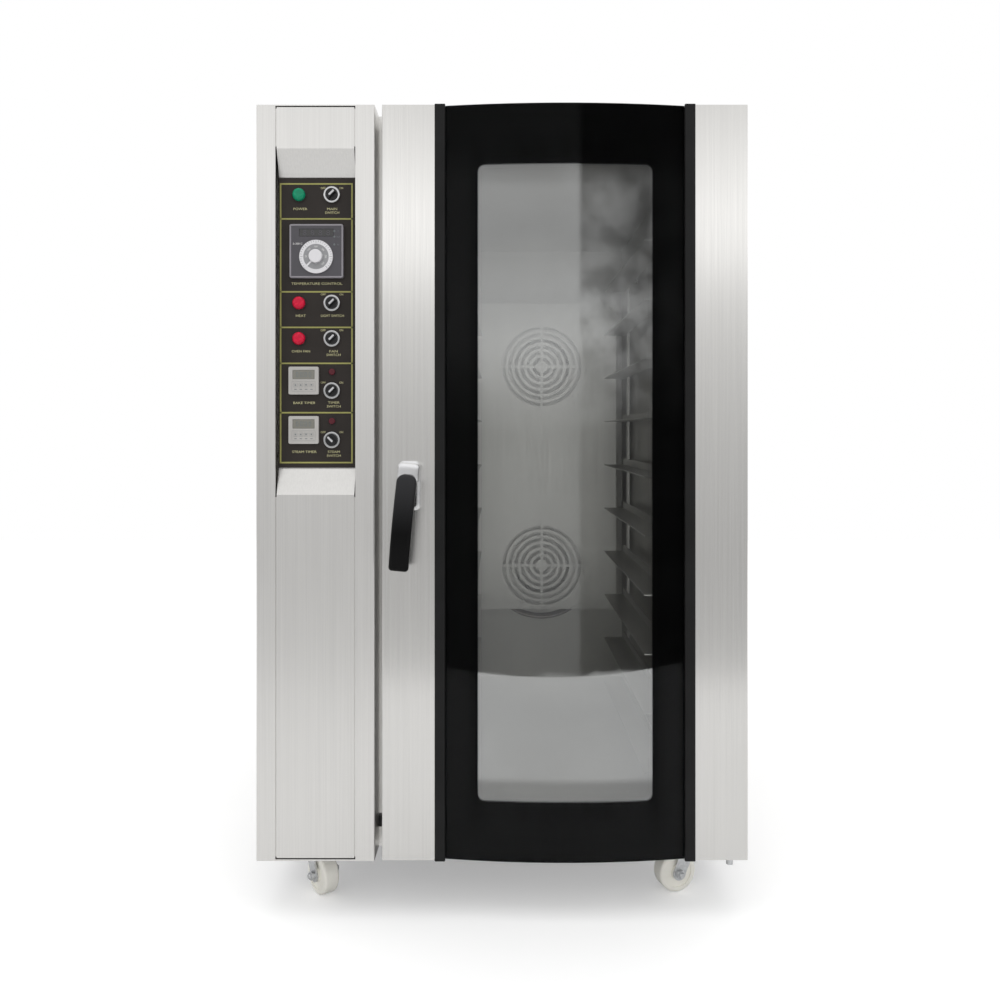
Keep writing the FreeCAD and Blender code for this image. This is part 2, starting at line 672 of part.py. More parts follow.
def water_hole(x0, x1):
    """Hole for the water pipe through a side wall."""
    radius = WATER_PIPE_RADIUS + HOLE_GAP
    return rod(radius, V(x0, WATER_DEPTH, WATER_HEIGHT), V(x1, WATER_DEPTH, WATER_HEIGHT))


def lamp_hole(x0, x1):
    """Hole for the cup of the cavity lamp."""
    radius = OVEN_LAMP_RADIUS + HOLE_GAP
    y, z = OVEN_LAMP_DEPTH_AT, OVEN_LAMP_HEIGHT
    return rod(radius, V(x0, y, z), V(x1, y, z))


def cavity_liner():
    """Five sheets of the baking cavity."""
    left, right = CAVITY_LEFT - LINER_SHEET, CAVITY_RIGHT + LINER_SHEET
    low, high = CAVITY_BOTTOM - LINER_SHEET, CAVITY_TOP + LINER_SHEET
    left_wall = block(left, CAVITY_LEFT, FASCIA_BACK, CAVITY_BACK, CAVITY_BOTTOM, CAVITY_TOP)
    left_wall = cut(left_wall, [lamp_hole(left - 1, CAVITY_LEFT + 1), water_hole(left - 1, CAVITY_LEFT + 1)])
    right_wall = block(CAVITY_RIGHT, right, FASCIA_BACK, CAVITY_BACK, CAVITY_BOTTOM, CAVITY_TOP)
    roof = block(left, right, FASCIA_BACK, CAVITY_BACK, CAVITY_TOP, high)
    floor = block(left, right, FASCIA_BACK, CAVITY_BACK, low, CAVITY_BOTTOM)
    back = block(left, right, CAVITY_BACK, LINER_BACK, low, high)
    tools = [disc(FLUE_RADIUS + HOLE_GAP, FLUE_X, FLUE_HEIGHT, CAVITY_BACK - 1, LINER_BACK + 1)]
    for height in FAN_HEIGHTS.values():
        tools.append(disc(2 * FAN_SHAFT_RADIUS, DOOR_MIDDLE, height, CAVITY_BACK - 1, LINER_BACK + 1))
        tools += heater_holes(height, CAVITY_BACK - 1, LINER_BACK + 1)
    return [left_wall, right_wall, roof, floor, cut(back, tools)]


def insulation():
    """Mineral wool slabs around the cavity."""
    front = FASCIA_BACK + INSULATION_SETBACK
    left, right = CAVITY_LEFT - LINER_SHEET, CAVITY_RIGHT + LINER_SHEET
    low, high = CAVITY_BOTTOM - LINER_SHEET, CAVITY_TOP + LINER_SHEET
    roof = TOP - CASING_FLANGE
    left_slab = block(PARTITION_RIGHT, left, front, BULKHEAD_FRONT, BASE_TOP, roof)
    lamp, water = lamp_hole(left - OVEN_LAMP_DEPTH, left + 1), water_hole(PARTITION_RIGHT - 1, left + 1)
    left_slab = cut(left_slab, [lamp, water])
    right_slab = block(right, INNER_RIGHT, front, BULKHEAD_FRONT, BASE_TOP, roof)
    top_slab = block(left, right, front, LINER_BACK, high, roof)
    bottom_slab = block(left, right, front, LINER_BACK, BASE_TOP, low)
    rear_slab = block(left, right, LINER_BACK, BULKHEAD_FRONT, BASE_TOP, roof)
    tools = [disc(FLUE_RADIUS + HOLE_GAP, FLUE_X, FLUE_HEIGHT, LINER_BACK - 1, BULKHEAD_FRONT + 1)]
    for height in FAN_HEIGHTS.values():
        tools.append(disc(2 * FAN_SHAFT_RADIUS, DOOR_MIDDLE, height, LINER_BACK - 1, BULKHEAD_FRONT + 1))
        tools += heater_holes(height, LINER_BACK - 1, BULKHEAD_FRONT + 1)
    return [left_slab, right_slab, top_slab, bottom_slab, cut(rear_slab, tools)]


def guard_slots(height):
    """Ring slots of one fan guard, left whole under four spokes."""
    low, high = BAFFLE_FRONT - 1, BAFFLE_BACK + 1
    reach = GUARD_HUB_RADIUS + GUARD_RING_COUNT * GUARD_RING_PITCH
    half = GUARD_SPOKE / 2
    upright = block(DOOR_MIDDLE - half, DOOR_MIDDLE + half, low - 1, high + 1, height - reach, height + reach)
    level = block(DOOR_MIDDLE - reach, DOOR_MIDDLE + reach, low - 1, high + 1, height - half, height + half)
    slots = []
    for ring in range(GUARD_RING_COUNT):
        inner = GUARD_HUB_RADIUS + ring * GUARD_RING_PITCH
        outer = disc(inner + GUARD_SLOT, DOOR_MIDDLE, height, low, high)
        slots.append(outer.cut([disc(inner, DOOR_MIDDLE, height, low - 1, high + 1), upright, level]))
    return slots


def fan_baffle():
    """Rear baffle with a slotted guard before each fan, folded sides and four stand-offs to the rear wall."""
    left, right = DOOR_MIDDLE - BAFFLE_WIDTH / 2, DOOR_MIDDLE + BAFFLE_WIDTH / 2
    low = FAN_HEIGHTS["lower"] - BAFFLE_BELOW_FAN
    high = FAN_HEIGHTS["upper"] + BAFFLE_ABOVE_FAN
    fold = BAFFLE_FRONT + BAFFLE_FLANGE
    pieces = [
        block(left, right, BAFFLE_FRONT, BAFFLE_BACK, low, high),
        block(left, left + BAFFLE_SHEET, BAFFLE_BACK, fold, low, high),
        block(right - BAFFLE_SHEET, right, BAFFLE_BACK, fold, low, high),
    ]
    for x in (left + STANDOFF_INSET, right - STANDOFF_INSET):
        for z in (low + STANDOFF_INSET, high - STANDOFF_INSET):
            pieces.append(disc(STANDOFF_RADIUS, x, z, BAFFLE_BACK, CAVITY_BACK))
    slots = []
    for height in FAN_HEIGHTS.values():
        slots += guard_slots(height)
    return cut(joined(pieces), slots)


def impeller(height):
    """Fan wheel with straight blades between a back plate and a front ring, and its shaft."""
    centre = V(DOOR_MIDDLE, 0, height)
    plate = disc(FAN_RADIUS, DOOR_MIDDLE, height, FAN_BACK - FAN_SHEET, FAN_BACK)
    ring = disc(FAN_RADIUS, DOOR_MIDDLE, height, FAN_FRONT, FAN_FRONT + FAN_SHEET)
    ring = ring.cut(disc(FAN_EYE_RADIUS, DOOR_MIDDLE, height, FAN_FRONT - 1, FAN_FRONT + FAN_SHEET + 1))
    hub = disc(FAN_HUB_RADIUS, DOOR_MIDDLE, height, FAN_FRONT + FAN_WIDTH / 3, FAN_BACK + FAN_SHEET)
    pieces = [plate, ring, hub]
    blade_low = height + FAN_EYE_RADIUS - 2 * FAN_SHEET
    blade_high = height + FAN_RADIUS - FAN_SHEET
    half = FAN_SHEET / 2
    blade = block(DOOR_MIDDLE - half, DOOR_MIDDLE + half, FAN_FRONT, FAN_BACK, blade_low, blade_high)
    for number in range(FAN_BLADES):
        pieces.append(turned(blade, centre, Y_AXIS, number * 360.0 / FAN_BLADES))
    bore = disc(FAN_SHAFT_RADIUS, DOOR_MIDDLE, height, FAN_FRONT, FAN_BACK + 2 * FAN_SHEET)
    shaft_end = BULKHEAD_BACK + MOTOR_FLANGE + MOTOR_LENGTH / 2
    shaft = disc(FAN_SHAFT_RADIUS, DOOR_MIDDLE, height, FAN_FRONT + FAN_WIDTH / 3, shaft_end)
    return [cut(joined(pieces), [bore]), shaft]


def fan_motor(height):
    """Flanged motor with cooling fins around its shell and a bearing bore for the fan shaft."""
    front = BULKHEAD_BACK
    shell = front + MOTOR_FLANGE
    back = shell + MOTOR_LENGTH
    pieces = [
        disc(MOTOR_FLANGE_RADIUS, DOOR_MIDDLE, height, front, shell),
        disc(MOTOR_RADIUS - MOTOR_FIN_HEIGHT, DOOR_MIDDLE, height, shell, back),
    ]
    pitch = MOTOR_LENGTH / MOTOR_FIN_COUNT
    for fin in range(MOTOR_FIN_COUNT):
        start = shell + fin * pitch + pitch / 4
        pieces.append(disc(MOTOR_RADIUS, DOOR_MIDDLE, height, start, start + pitch / 2))
    bore_end = shell + MOTOR_LENGTH / 2 + HOLE_GAP
    bore = disc(FAN_SHAFT_RADIUS + RUNNING_GAP, DOOR_MIDDLE, height, front - 1, bore_end)
    return cut(joined(pieces), [bore])


def heating_rings(height):
    """Ring elements around one fan, each with two legs through the rear wall."""
    centre = V(DOOR_MIDDLE, 0, height)
    end = BULKHEAD_BACK + HEATER_LEG_BEYOND
    rings = []
    for turn in range(HEATER_TURNS):
        depth = HEATER_FIRST + turn * HEATER_PITCH
        first, second = heater_legs(height, turn)
        circle = Part.makeCircle(HEATER_TUBE_RADIUS, V(second[0], depth, second[1]), tangent(centre, second))
        profile = Part.Face(Part.Wire(circle))
        bend = profile.revolve(V(DOOR_MIDDLE, depth, height), V(0, -1, 0), 360 - 2 * HEATER_LEG_ANGLE)
        pieces = [bend.Solids[0] if bend.Solids else bend]
        for x, z in (first, second):
            pieces.append(disc(HEATER_TUBE_RADIUS, x, z, depth, end))
            pieces.append(Part.makeSphere(HEATER_TUBE_RADIUS, V(x, depth, z)))
        rings.append(joined(pieces))
    return rings


def tangent(centre, place):
    """Direction along a ring at one of its points."""
    return V(place[1] - centre.z, 0, DOOR_MIDDLE - place[0])


def tray_rack(side):
    """Posts with pins to the cavity wall, and one angle ledge for each tray level."""
    plane = DOOR_MIDDLE + side * RACK_HALF_WIDTH
    outer = plane + side * RACK_SHEET
    inner = plane - side * RACK_LEDGE
    post_face = outer + side * RACK_POST_THICKNESS
    wall = CAVITY_RIGHT if side > 0 else CAVITY_LEFT
    front = FASCIA_BACK + RACK_FRONT
    back = front + RACK_LENGTH
    low = CAVITY_BOTTOM + FIRST_TRAY
    post_low = low - TRAY_PITCH / 3
    post_high = low + (TRAY_LEVELS - 1) * TRAY_PITCH + TRAY_PITCH / 3
    pieces = []
    for start in (front + RACK_POST_INSET, back - RACK_POST_INSET - RACK_POST_WIDTH):
        x0, x1 = min(outer, post_face), max(outer, post_face)
        upright = block(x0, x1, start, start + RACK_POST_WIDTH, post_low, post_high)
        middle = start + RACK_POST_WIDTH / 2
        pins = []
        for height in (post_low + TRAY_PITCH / 6, post_high - TRAY_PITCH / 6):
            pins.append(rod(RACK_PIN_RADIUS, V(post_face, middle, height), V(wall, middle, height)))
        pieces.append(joined([upright] + pins))
    for level in range(TRAY_LEVELS):
        height = low + level * TRAY_PITCH
        outline = [
            V(inner, front, height),
            V(plane, front, height),
            V(plane, front, height + RACK_LIP),
            V(outer, front, height + RACK_LIP),
            V(outer, front, height - RACK_SHEET),
            V(inner, front, height - RACK_SHEET),
        ]
        pieces.append(prism(outline, V(0, RACK_LENGTH, 0)))
    return pieces


def cavity_lamp():
    """Lamp cup in the left wall with a flange and a thick lens."""
    y, z = OVEN_LAMP_DEPTH_AT, OVEN_LAMP_HEIGHT
    sheet = OVEN_LAMP_SHEET
    start, face = CAVITY_LEFT - OVEN_LAMP_DEPTH, CAVITY_LEFT
    flange_face = face + sheet
    cup = rod(OVEN_LAMP_RADIUS, V(start, y, z), V(flange_face, y, z))
    flange = rod(OVEN_LAMP_RADIUS + OVEN_LAMP_FLANGE, V(face, y, z), V(flange_face, y, z))
    hollow = rod(OVEN_LAMP_RADIUS - sheet, V(start + sheet, y, z), V(flange_face + 1, y, z))
    housing = cut(joined([cup, flange]), [hollow])
    lens = rod(OVEN_LAMP_RADIUS - sheet, V(face - 2 * sheet, y, z), V(flange_face + sheet, y, z))
    return [housing, rounded(lens, sheet, [lens.Edges[0]])]


# Services

def steam_supply():
    """Threaded inlet at the rear, valve, and pipe through the wall to the lower fan."""
    x, z = WATER_X, WATER_HEIGHT
    half = WATER_VALVE / 2
    valve = block(x - half, x + half, WATER_DEPTH - half, WATER_DEPTH + half, z - half, z + half)
    coil = rod(WATER_COIL_RADIUS, V(x, WATER_DEPTH, z + half), V(x, WATER_DEPTH, z + half + WATER_COIL))
    inlet = disc(WATER_PIPE_RADIUS, x, z, WATER_DEPTH + half, CASE_BACK)
    inner_nut = disc(WATER_NUT_RADIUS, x, z, CASE_BACK - WATER_NUT, CASE_BACK)
    outer_nut = disc(WATER_NUT_RADIUS, x, z, REAR_FACE, REAR_FACE + WATER_NUT)
    thread_end = REAR_FACE + WATER_NUT + WATER_THREAD_LENGTH
    thread = disc(WATER_THREAD_RADIUS, x, z, CASE_BACK - WATER_NUT, thread_end)
    bore = disc(WATER_PIPE_RADIUS, x, z, REAR_FACE, thread_end + 1)
    nozzle_x = CAVITY_LEFT + WATER_VALVE / 2
    outlet = rod(WATER_PIPE_RADIUS, V(x + half, WATER_DEPTH, z), V(nozzle_x, WATER_DEPTH, z))
    return cut(joined([valve, coil, inlet, inner_nut, outer_nut, thread, outlet]), [bore])


def exhaust_flue():
    """Flue tube from the cavity through the rear panel, with a flange against the panel."""
    tube = disc(FLUE_RADIUS, FLUE_X, FLUE_HEIGHT, CAVITY_BACK, REAR_MOST)
    flange = disc(FLUE_FLANGE_RADIUS, FLUE_X, FLUE_HEIGHT, REAR_FACE, REAR_FACE + FLUE_FLANGE)
    bore = disc(FLUE_RADIUS - FLUE_WALL, FLUE_X, FLUE_HEIGHT, CAVITY_BACK - 1, REAR_MOST + 1)
    return cut(joined([tube, flange]), [bore])


def cable_gland():
    """Gland with a hexagon outside, a nut inside and a bore for the supply cable."""
    x, z = GLAND_X, GLAND_HEIGHT
    hexagon = []
    for number in range(6):
        angle = math.radians(60 * number)
        hexagon.append(V(x + GLAND_CORNER * math.cos(angle), REAR_FACE, z + GLAND_CORNER * math.sin(angle)))
    nut = prism(hexagon, V(0, GLAND_REACH / 3, 0))
    body = disc(GLAND_RADIUS, x, z, CASE_BACK - GLAND_REACH / 2, REAR_FACE + GLAND_REACH)
    locknut = disc(GLAND_CORNER, x, z, CASE_BACK - GLAND_REACH / 4, CASE_BACK)
    bore = disc(GLAND_BORE_RADIUS, x, z, CASE_BACK - GLAND_REACH, REAR_FACE + GLAND_REACH + 1)
    return cut(joined([nut, body, locknut]), [bore])


def switchgear():
    """Contactors in a row on the partition, each with a narrower top, and a terminal strip below."""
    pieces = []
    low = UNDER + GEAR_ABOVE_UNDERSIDE
    face = PARTITION_LEFT
    for number in range(GEAR_COUNT):
        y = FASCIA_BACK + GEAR_FROM_FASCIA + number * GEAR_PITCH
        shoulder = face - GEAR_DEPTH + GEAR_NOSE
        body = block(shoulder, face, y, y + GEAR_WIDTH, low, low + GEAR_HEIGHT)
        nose_low, nose_high = low + GEAR_STEP, low + GEAR_HEIGHT - GEAR_STEP
        nose = block(face - GEAR_DEPTH, shoulder, y, y + GEAR_WIDTH, nose_low, nose_high)
        pieces.append(joined([body, nose]))
    start = FASCIA_BACK + GEAR_FROM_FASCIA
    base = low - 2 * GEAR_HEIGHT
    strip = block(face - GEAR_DEPTH / 2, face, start, start + TERMINAL_LENGTH, base, base + GEAR_HEIGHT / 2)
    pieces.append(strip)
    return pieces


# Control column

def column_casing():
    """Folded casing of the column, open at the rear, with an opening for the cover and ledges behind it."""
    outer = block(COLUMN_LEFT, COLUMN_RIGHT, 0, FRONT_STEP, UNDER, TOP)
    front_edges = [edge for edge in edges_along(outer, Z_AXIS) if edge.CenterOfMass.y < 1]
    outer = rounded(outer, COLUMN_BEND_RADIUS, front_edges)
    sheet = CASING_SHEET
    left, right = COLUMN_LEFT + sheet, COLUMN_RIGHT - sheet
    inside = block(left, right, sheet, FRONT_STEP + 1, UNDER + sheet, TOP - sheet)
    inner_edges = [edge for edge in edges_along(inside, Z_AXIS) if edge.CenterOfMass.y < FRONT_STEP]
    inside = rounded(inside, COLUMN_BEND_RADIUS - sheet, inner_edges)
    left, right = COVER_LEFT - COVER_SIDE_GAP, COVER_RIGHT + COVER_SIDE_GAP
    low, high = COVER_BOTTOM - COVER_SIDE_GAP, COVER_TOP + COVER_SIDE_GAP
    opening = block(left, right, -1, sheet + 1, low, high)
    shell = cut(outer, [inside, opening])
    ledge_front = COVER_INSET + COVER_SHEET
    ledge_back = ledge_front + sheet
    pieces = [shell]
    for start, end in ((RECESS_TOP + COVER_UPPER_FACET, high), (low, RECESS_BOTTOM - COVER_LOWER_FACET)):
        for edge, side in ((left, 1), (right, -1)):
            far = edge + side * COVER_LEDGE
            near = edge - side * COVER_LEDGE
            foot, head = start + COVER_LEDGE_END, end - COVER_LEDGE_END
            pieces.append(block(min(near, far), max(near, far), ledge_front, ledge_back, foot, head))
            pieces.append(block(min(near, edge), max(near, edge), sheet, ledge_front, foot, head))
    return joined(pieces)


def panel_holes(y0, y1):
    """Openings behind the controls, through a sheet between two depths."""
    holes = []
    right, left = COLUMN_MIDDLE + SELECTOR_COLUMN, COLUMN_MIDDLE + LAMP_COLUMN
    for row in SELECTOR_ROWS.values():
        holes.append(disc(SELECTOR_BODY_RADIUS + HOLE_GAP, right, PLATE_TOP - row, y0, y1))
    for row in (POWER_ROW,) + RED_LAMP_ROWS:
        holes.append(disc(LAMP_BODY_RADIUS + HOLE_GAP, left, PLATE_TOP - row, y0, y1))
    for row in SMALL_LAMP_ROWS:
        holes.append(disc(SMALL_LAMP_BODY_RADIUS + HOLE_GAP, right, PLATE_TOP - row, y0, y1))
    half = CONTROLLER_BODY / 2 + HOLE_GAP
    x, z = COLUMN_MIDDLE, PLATE_TOP - CONTROLLER_ROW
    holes.append(block(x - half, x + half, y0, y1, z - half, z + half))
    half = TIMER_BODY / 2 + HOLE_GAP
    for row in TIMER_ROWS:
        x, z = COLUMN_MIDDLE + TIMER_COLUMN, PLATE_TOP - row
        holes.append(block(x - half, x + half, y0, y1, z - half, z + half))
    return holes


def column_cover():
    """Cover between the strips, folded back to a recess that holds the control plate."""
    front, deep, sheet = COVER_INSET, RECESS_FRONT, COVER_SHEET
    fold_top = RECESS_TOP + COVER_UPPER_FACET
    fold_bottom = RECESS_BOTTOM - COVER_LOWER_FACET
    face = [
        V(COVER_LEFT, front, COVER_TOP),
        V(COVER_LEFT, front, fold_top),
        V(COVER_LEFT, deep, RECESS_TOP),
        V(COVER_LEFT, deep, RECESS_BOTTOM),
        V(COVER_LEFT, front, fold_bottom),
        V(COVER_LEFT, front, COVER_BOTTOM),
    ]
    back = [point + V(0, sheet, 0) for point in reversed(face)]
    whole = prism(face + back, V(COVER_WIDTH, 0, 0))
    return cut(whole, panel_holes(deep - 1, deep + sheet + 1))


def control_plate():
    """Flat plate of the controls."""
    plate = block(COVER_LEFT, COVER_RIGHT, PLATE_FRONT, RECESS_FRONT, PLATE_BOTTOM, PLATE_TOP)
    return cut(plate, panel_holes(PLATE_FRONT - 1, RECESS_FRONT + 1))


def selector_body(row):
    """Metal ring with a pocket for the knob, and the switch body behind the plate."""
    x, z = COLUMN_MIDDLE + SELECTOR_COLUMN, PLATE_TOP - row
    front = PLATE_FRONT - SELECTOR_RING_HEIGHT
    ring = disc(SELECTOR_RING_RADIUS, x, z, front, PLATE_FRONT)
    rim = [edge for edge in ring.Edges if edge.CenterOfMass.y < front + 0.1 and edge.Closed]
    ring = rounded(ring, SELECTOR_RING_ROUNDING, rim)
    body = disc(SELECTOR_BODY_RADIUS, x, z, PLATE_FRONT, PLATE_FRONT + SELECTOR_BODY_LENGTH)
    pocket_floor = front + SELECTOR_POCKET_DEPTH
    pocket = disc(SELECTOR_KNOB_RADIUS + HOLE_GAP, x, z, front - 1, pocket_floor)
    bore_end = pocket_floor + SELECTOR_STEM_LENGTH + HOLE_GAP
    bore = disc(SELECTOR_STEM_RADIUS + RUNNING_GAP, x, z, front, bore_end)
    return cut(joined([ring, body]), [pocket, bore])


def selector_knob(name):
    """Round knob with a raised bar, turned to its place."""
    x, z = COLUMN_MIDDLE + SELECTOR_COLUMN, PLATE_TOP - SELECTOR_ROWS[name]
    floor = PLATE_FRONT - SELECTOR_RING_HEIGHT + SELECTOR_POCKET_DEPTH
    base = floor - SLIDING_GAP
    top = base - SELECTOR_KNOB_HEIGHT
    knob = disc(SELECTOR_KNOB_RADIUS, x, z, top, base)
    half_width, half_length = SELECTOR_BAR_WIDTH / 2, SELECTOR_BAR_LENGTH / 2
    bar_top = top - SELECTOR_BAR_HEIGHT
    bar = block(x - half_width, x + half_width, bar_top, top + 1, z - half_length, z + half_length)
    bar = rounded(bar, half_width * 0.6, edges_along(bar, Y_AXIS))
    stem = disc(SELECTOR_STEM_RADIUS, x, z, base, floor + SELECTOR_STEM_LENGTH)
    whole = joined([knob, bar, stem])
    return turned(whole, V(x, 0, z), Y_AXIS, SELECTOR_REST[name])


def domed_lamp(x, z, radius, height, body_radius, body_length):
    """Lamp lens with a rounded front and a body through the plate."""
    lens = disc(radius, x, z, PLATE_FRONT - height, PLATE_FRONT)
    rim = [edge for edge in lens.Edges if edge.CenterOfMass.y < PLATE_FRONT - height + 0.1 and edge.Closed]
    lens = rounded(lens, height * 0.55, rim)
    body = disc(body_radius, x, z, PLATE_FRONT, PLATE_FRONT + body_length)
    return joined([lens, body])


def panel_lamp(row):
    """Lamp of the left column."""
    x, z = COLUMN_MIDDLE + LAMP_COLUMN, PLATE_TOP - row
    return domed_lamp(x, z, LAMP_RADIUS, LAMP_HEIGHT, LAMP_BODY_RADIUS, LAMP_BODY_LENGTH)


def small_lamp(row):
    """Small lamp above a timer's selector."""
    x, z = COLUMN_MIDDLE + SELECTOR_COLUMN, PLATE_TOP - row
    body_radius, body_length = SMALL_LAMP_BODY_RADIUS, SMALL_LAMP_BODY_LENGTH
    return domed_lamp(x, z, SMALL_LAMP_RADIUS, SMALL_LAMP_HEIGHT, body_radius, body_length)


def temperature_controller():
    """Square controller with a sunk display and a bore for its dial."""
    x, z = COLUMN_MIDDLE, PLATE_TOP - CONTROLLER_ROW
    half = CONTROLLER_SIZE / 2
    front = PLATE_FRONT - CONTROLLER_BEZEL
    bezel = rounded_slab(x - half, x + half, front, PLATE_FRONT, z - half, z + half, CONTROLLER_CORNER)
    inner = CONTROLLER_BODY / 2
    body_end = PLATE_FRONT + CONTROLLER_BODY_LENGTH
    body = block(x - inner, x + inner, PLATE_FRONT, body_end, z - inner, z + inner)
    middle = z + half - DISPLAY_DROP
    wide, tall = DISPLAY_WIDTH / 2, DISPLAY_HEIGHT / 2
    window = block(x - wide, x + wide, front - 1, front + DISPLAY_DEPTH, middle - tall, middle + tall)
    bore_end = front + DIAL_STEM_LENGTH + HOLE_GAP
    bore = disc(DIAL_STEM_RADIUS + RUNNING_GAP, x, z - DIAL_DROP, front - 1, bore_end)
    return cut(joined([bezel, body]), [window, bore])


def temperature_dial():
    """Dial skirt with a centre knob and a pointer rib."""
    x, z = COLUMN_MIDDLE, PLATE_TOP - CONTROLLER_ROW - DIAL_DROP
    back = PLATE_FRONT - CONTROLLER_BEZEL - SLIDING_GAP
    front = back - DIAL_SKIRT
    skirt = disc(DIAL_RADIUS, x, z, front, back)
    knob_front = front - DIAL_KNOB_HEIGHT
    knob = disc(DIAL_KNOB_RADIUS, x, z, knob_front, front)
    rim = [edge for edge in knob.Edges if edge.CenterOfMass.y < knob_front + 0.1 and edge.Closed]
    knob = rounded(knob, DIAL_KNOB_ROUNDING, rim)
    half = DIAL_RIB_WIDTH / 2
    rib_low, rib_high = z - DIAL_RADIUS + DIAL_RIB_MARGIN, z - DIAL_KNOB_RADIUS + DIAL_RIB_MARGIN
    rib = block(x - half, x + half, front - DIAL_RIB_HEIGHT, front, rib_low, rib_high)
    rib = turned(rib, V(x, 0, z), Y_AXIS, SELECTOR_REST_ANGLE)
    stem = disc(DIAL_STEM_RADIUS, x, z, back, back + DIAL_STEM_LENGTH)
    return joined([skirt, knob, rib, stem])


def timer(row):
    """Small timer with a sunk display in its upper half."""
    x, z = COLUMN_MIDDLE + TIMER_COLUMN, PLATE_TOP - row
    front = PLATE_FRONT - TIMER_BEZEL
    wide, tall = TIMER_WIDTH / 2, TIMER_HEIGHT / 2
    bezel = rounded_slab(x - wide, x + wide, front, PLATE_FRONT, z - tall, z + tall, CONTROLLER_CORNER)
    half = TIMER_BODY / 2
    body = block(x - half, x + half, PLATE_FRONT, PLATE_FRONT + TIMER_BODY_LENGTH, z - half, z + half)
    show_wide = TIMER_DISPLAY_WIDTH / 2
    show_high = z + tall - TIMER_DISPLAY_HEIGHT / 3
    show_low = show_high - TIMER_DISPLAY_HEIGHT
    window = block(x - show_wide, x + show_wide, front - 1, front + DISPLAY_DEPTH, show_low, show_high)
    return cut(joined([bezel, body]), [window])


# Door

def door_stile(side):
    """Folded steel stile with an outer return to the rear and a short inner return."""
    edge = DOOR_RIGHT if side > 0 else DOOR_LEFT
    inner = edge - side * STILE_WIDTH
    sheet = CASING_SHEET
    outline = [
        V(edge, STILE_RETURN, DOOR_BOTTOM),
        V(edge, 0, DOOR_BOTTOM),
        V(inner, 0, DOOR_BOTTOM),
        V(inner, PAN_FRONT, DOOR_BOTTOM),
        V(inner + side * sheet, PAN_FRONT, DOOR_BOTTOM),
        V(inner + side * sheet, sheet, DOOR_BOTTOM),
        V(edge - side * sheet, sheet, DOOR_BOTTOM),
        V(edge - side * sheet, STILE_RETURN, DOOR_BOTTOM),
    ]
    stile = prism(outline, V(0, 0, DOOR_TOP - DOOR_BOTTOM))
    corner = [line for line in edges_along(stile, Z_AXIS) if abs(line.CenterOfMass.y) < 0.1]
    corner = [line for line in corner if abs(line.CenterOfMass.x - edge) < 0.1]
    stile = rounded(stile, STILE_BEND_RADIUS - sheet / 2, corner)
    if side > 0:
        notch = block(edge - 2 * sheet, edge + 1, STILE_BEND_RADIUS, STILE_RETURN + 1, PAN_TOP, DOOR_TOP + 1)
        return cut(stile, [notch])
    hole = disc(SPINDLE_RADIUS + 2 * HOLE_GAP, HANDLE_X, HANDLE_HEIGHT, -1, sheet + 1)
    return cut(stile, [hole])


def glass_space(extra):
    """Glass with a little room around it."""
    inner = GLASS_RADIUS - GLASS_THICKNESS - extra
    return bow(GLASS_RADIUS + extra, inner, GLASS_REACH + extra, DOOR_BOTTOM, DOOR_TOP)


def glass_trim(side):
    """Black strip that holds one edge of the glass."""
    inner = DOOR_MIDDLE + side * GLASS_HALF
    outer = inner + side * TRIM_WIDTH
    strip = block(min(inner, outer), max(inner, outer), -TRIM_PROUD, PAN_FRONT, DOOR_BOTTOM, DOOR_TOP)
    ridge = [line for line in edges_along(strip, Z_AXIS) if line.CenterOfMass.y < 0]
    strip = rounded(strip, TRIM_PROUD * 0.5, ridge)
    border_back = BORDER_RADIUS - BORDER_THICKNESS - HOLE_GAP
    border = bow(BORDER_RADIUS, border_back, GLASS_REACH, DOOR_BOTTOM, DOOR_TOP)
    return cut(strip, [glass_space(RUNNING_GAP), border])


def glass_border():
    """Thin black layer behind the glass around the clear window."""
    layer = bow(BORDER_RADIUS, BORDER_RADIUS - BORDER_THICKNESS, GLASS_HALF, DOOR_BOTTOM, DOOR_TOP)
    wide, tall = WINDOW_WIDTH / 2, WINDOW_HEIGHT / 2
    middle = DOOR_CENTRE_HEIGHT
    left, right = DOOR_MIDDLE - wide, DOOR_MIDDLE + wide
    low, high = middle - tall, middle + tall
    window = rounded_slab(left, right, -GLASS_BULGE, DOOR_THICKNESS, low, high, WINDOW_CORNER)
    return cut(layer, [window])


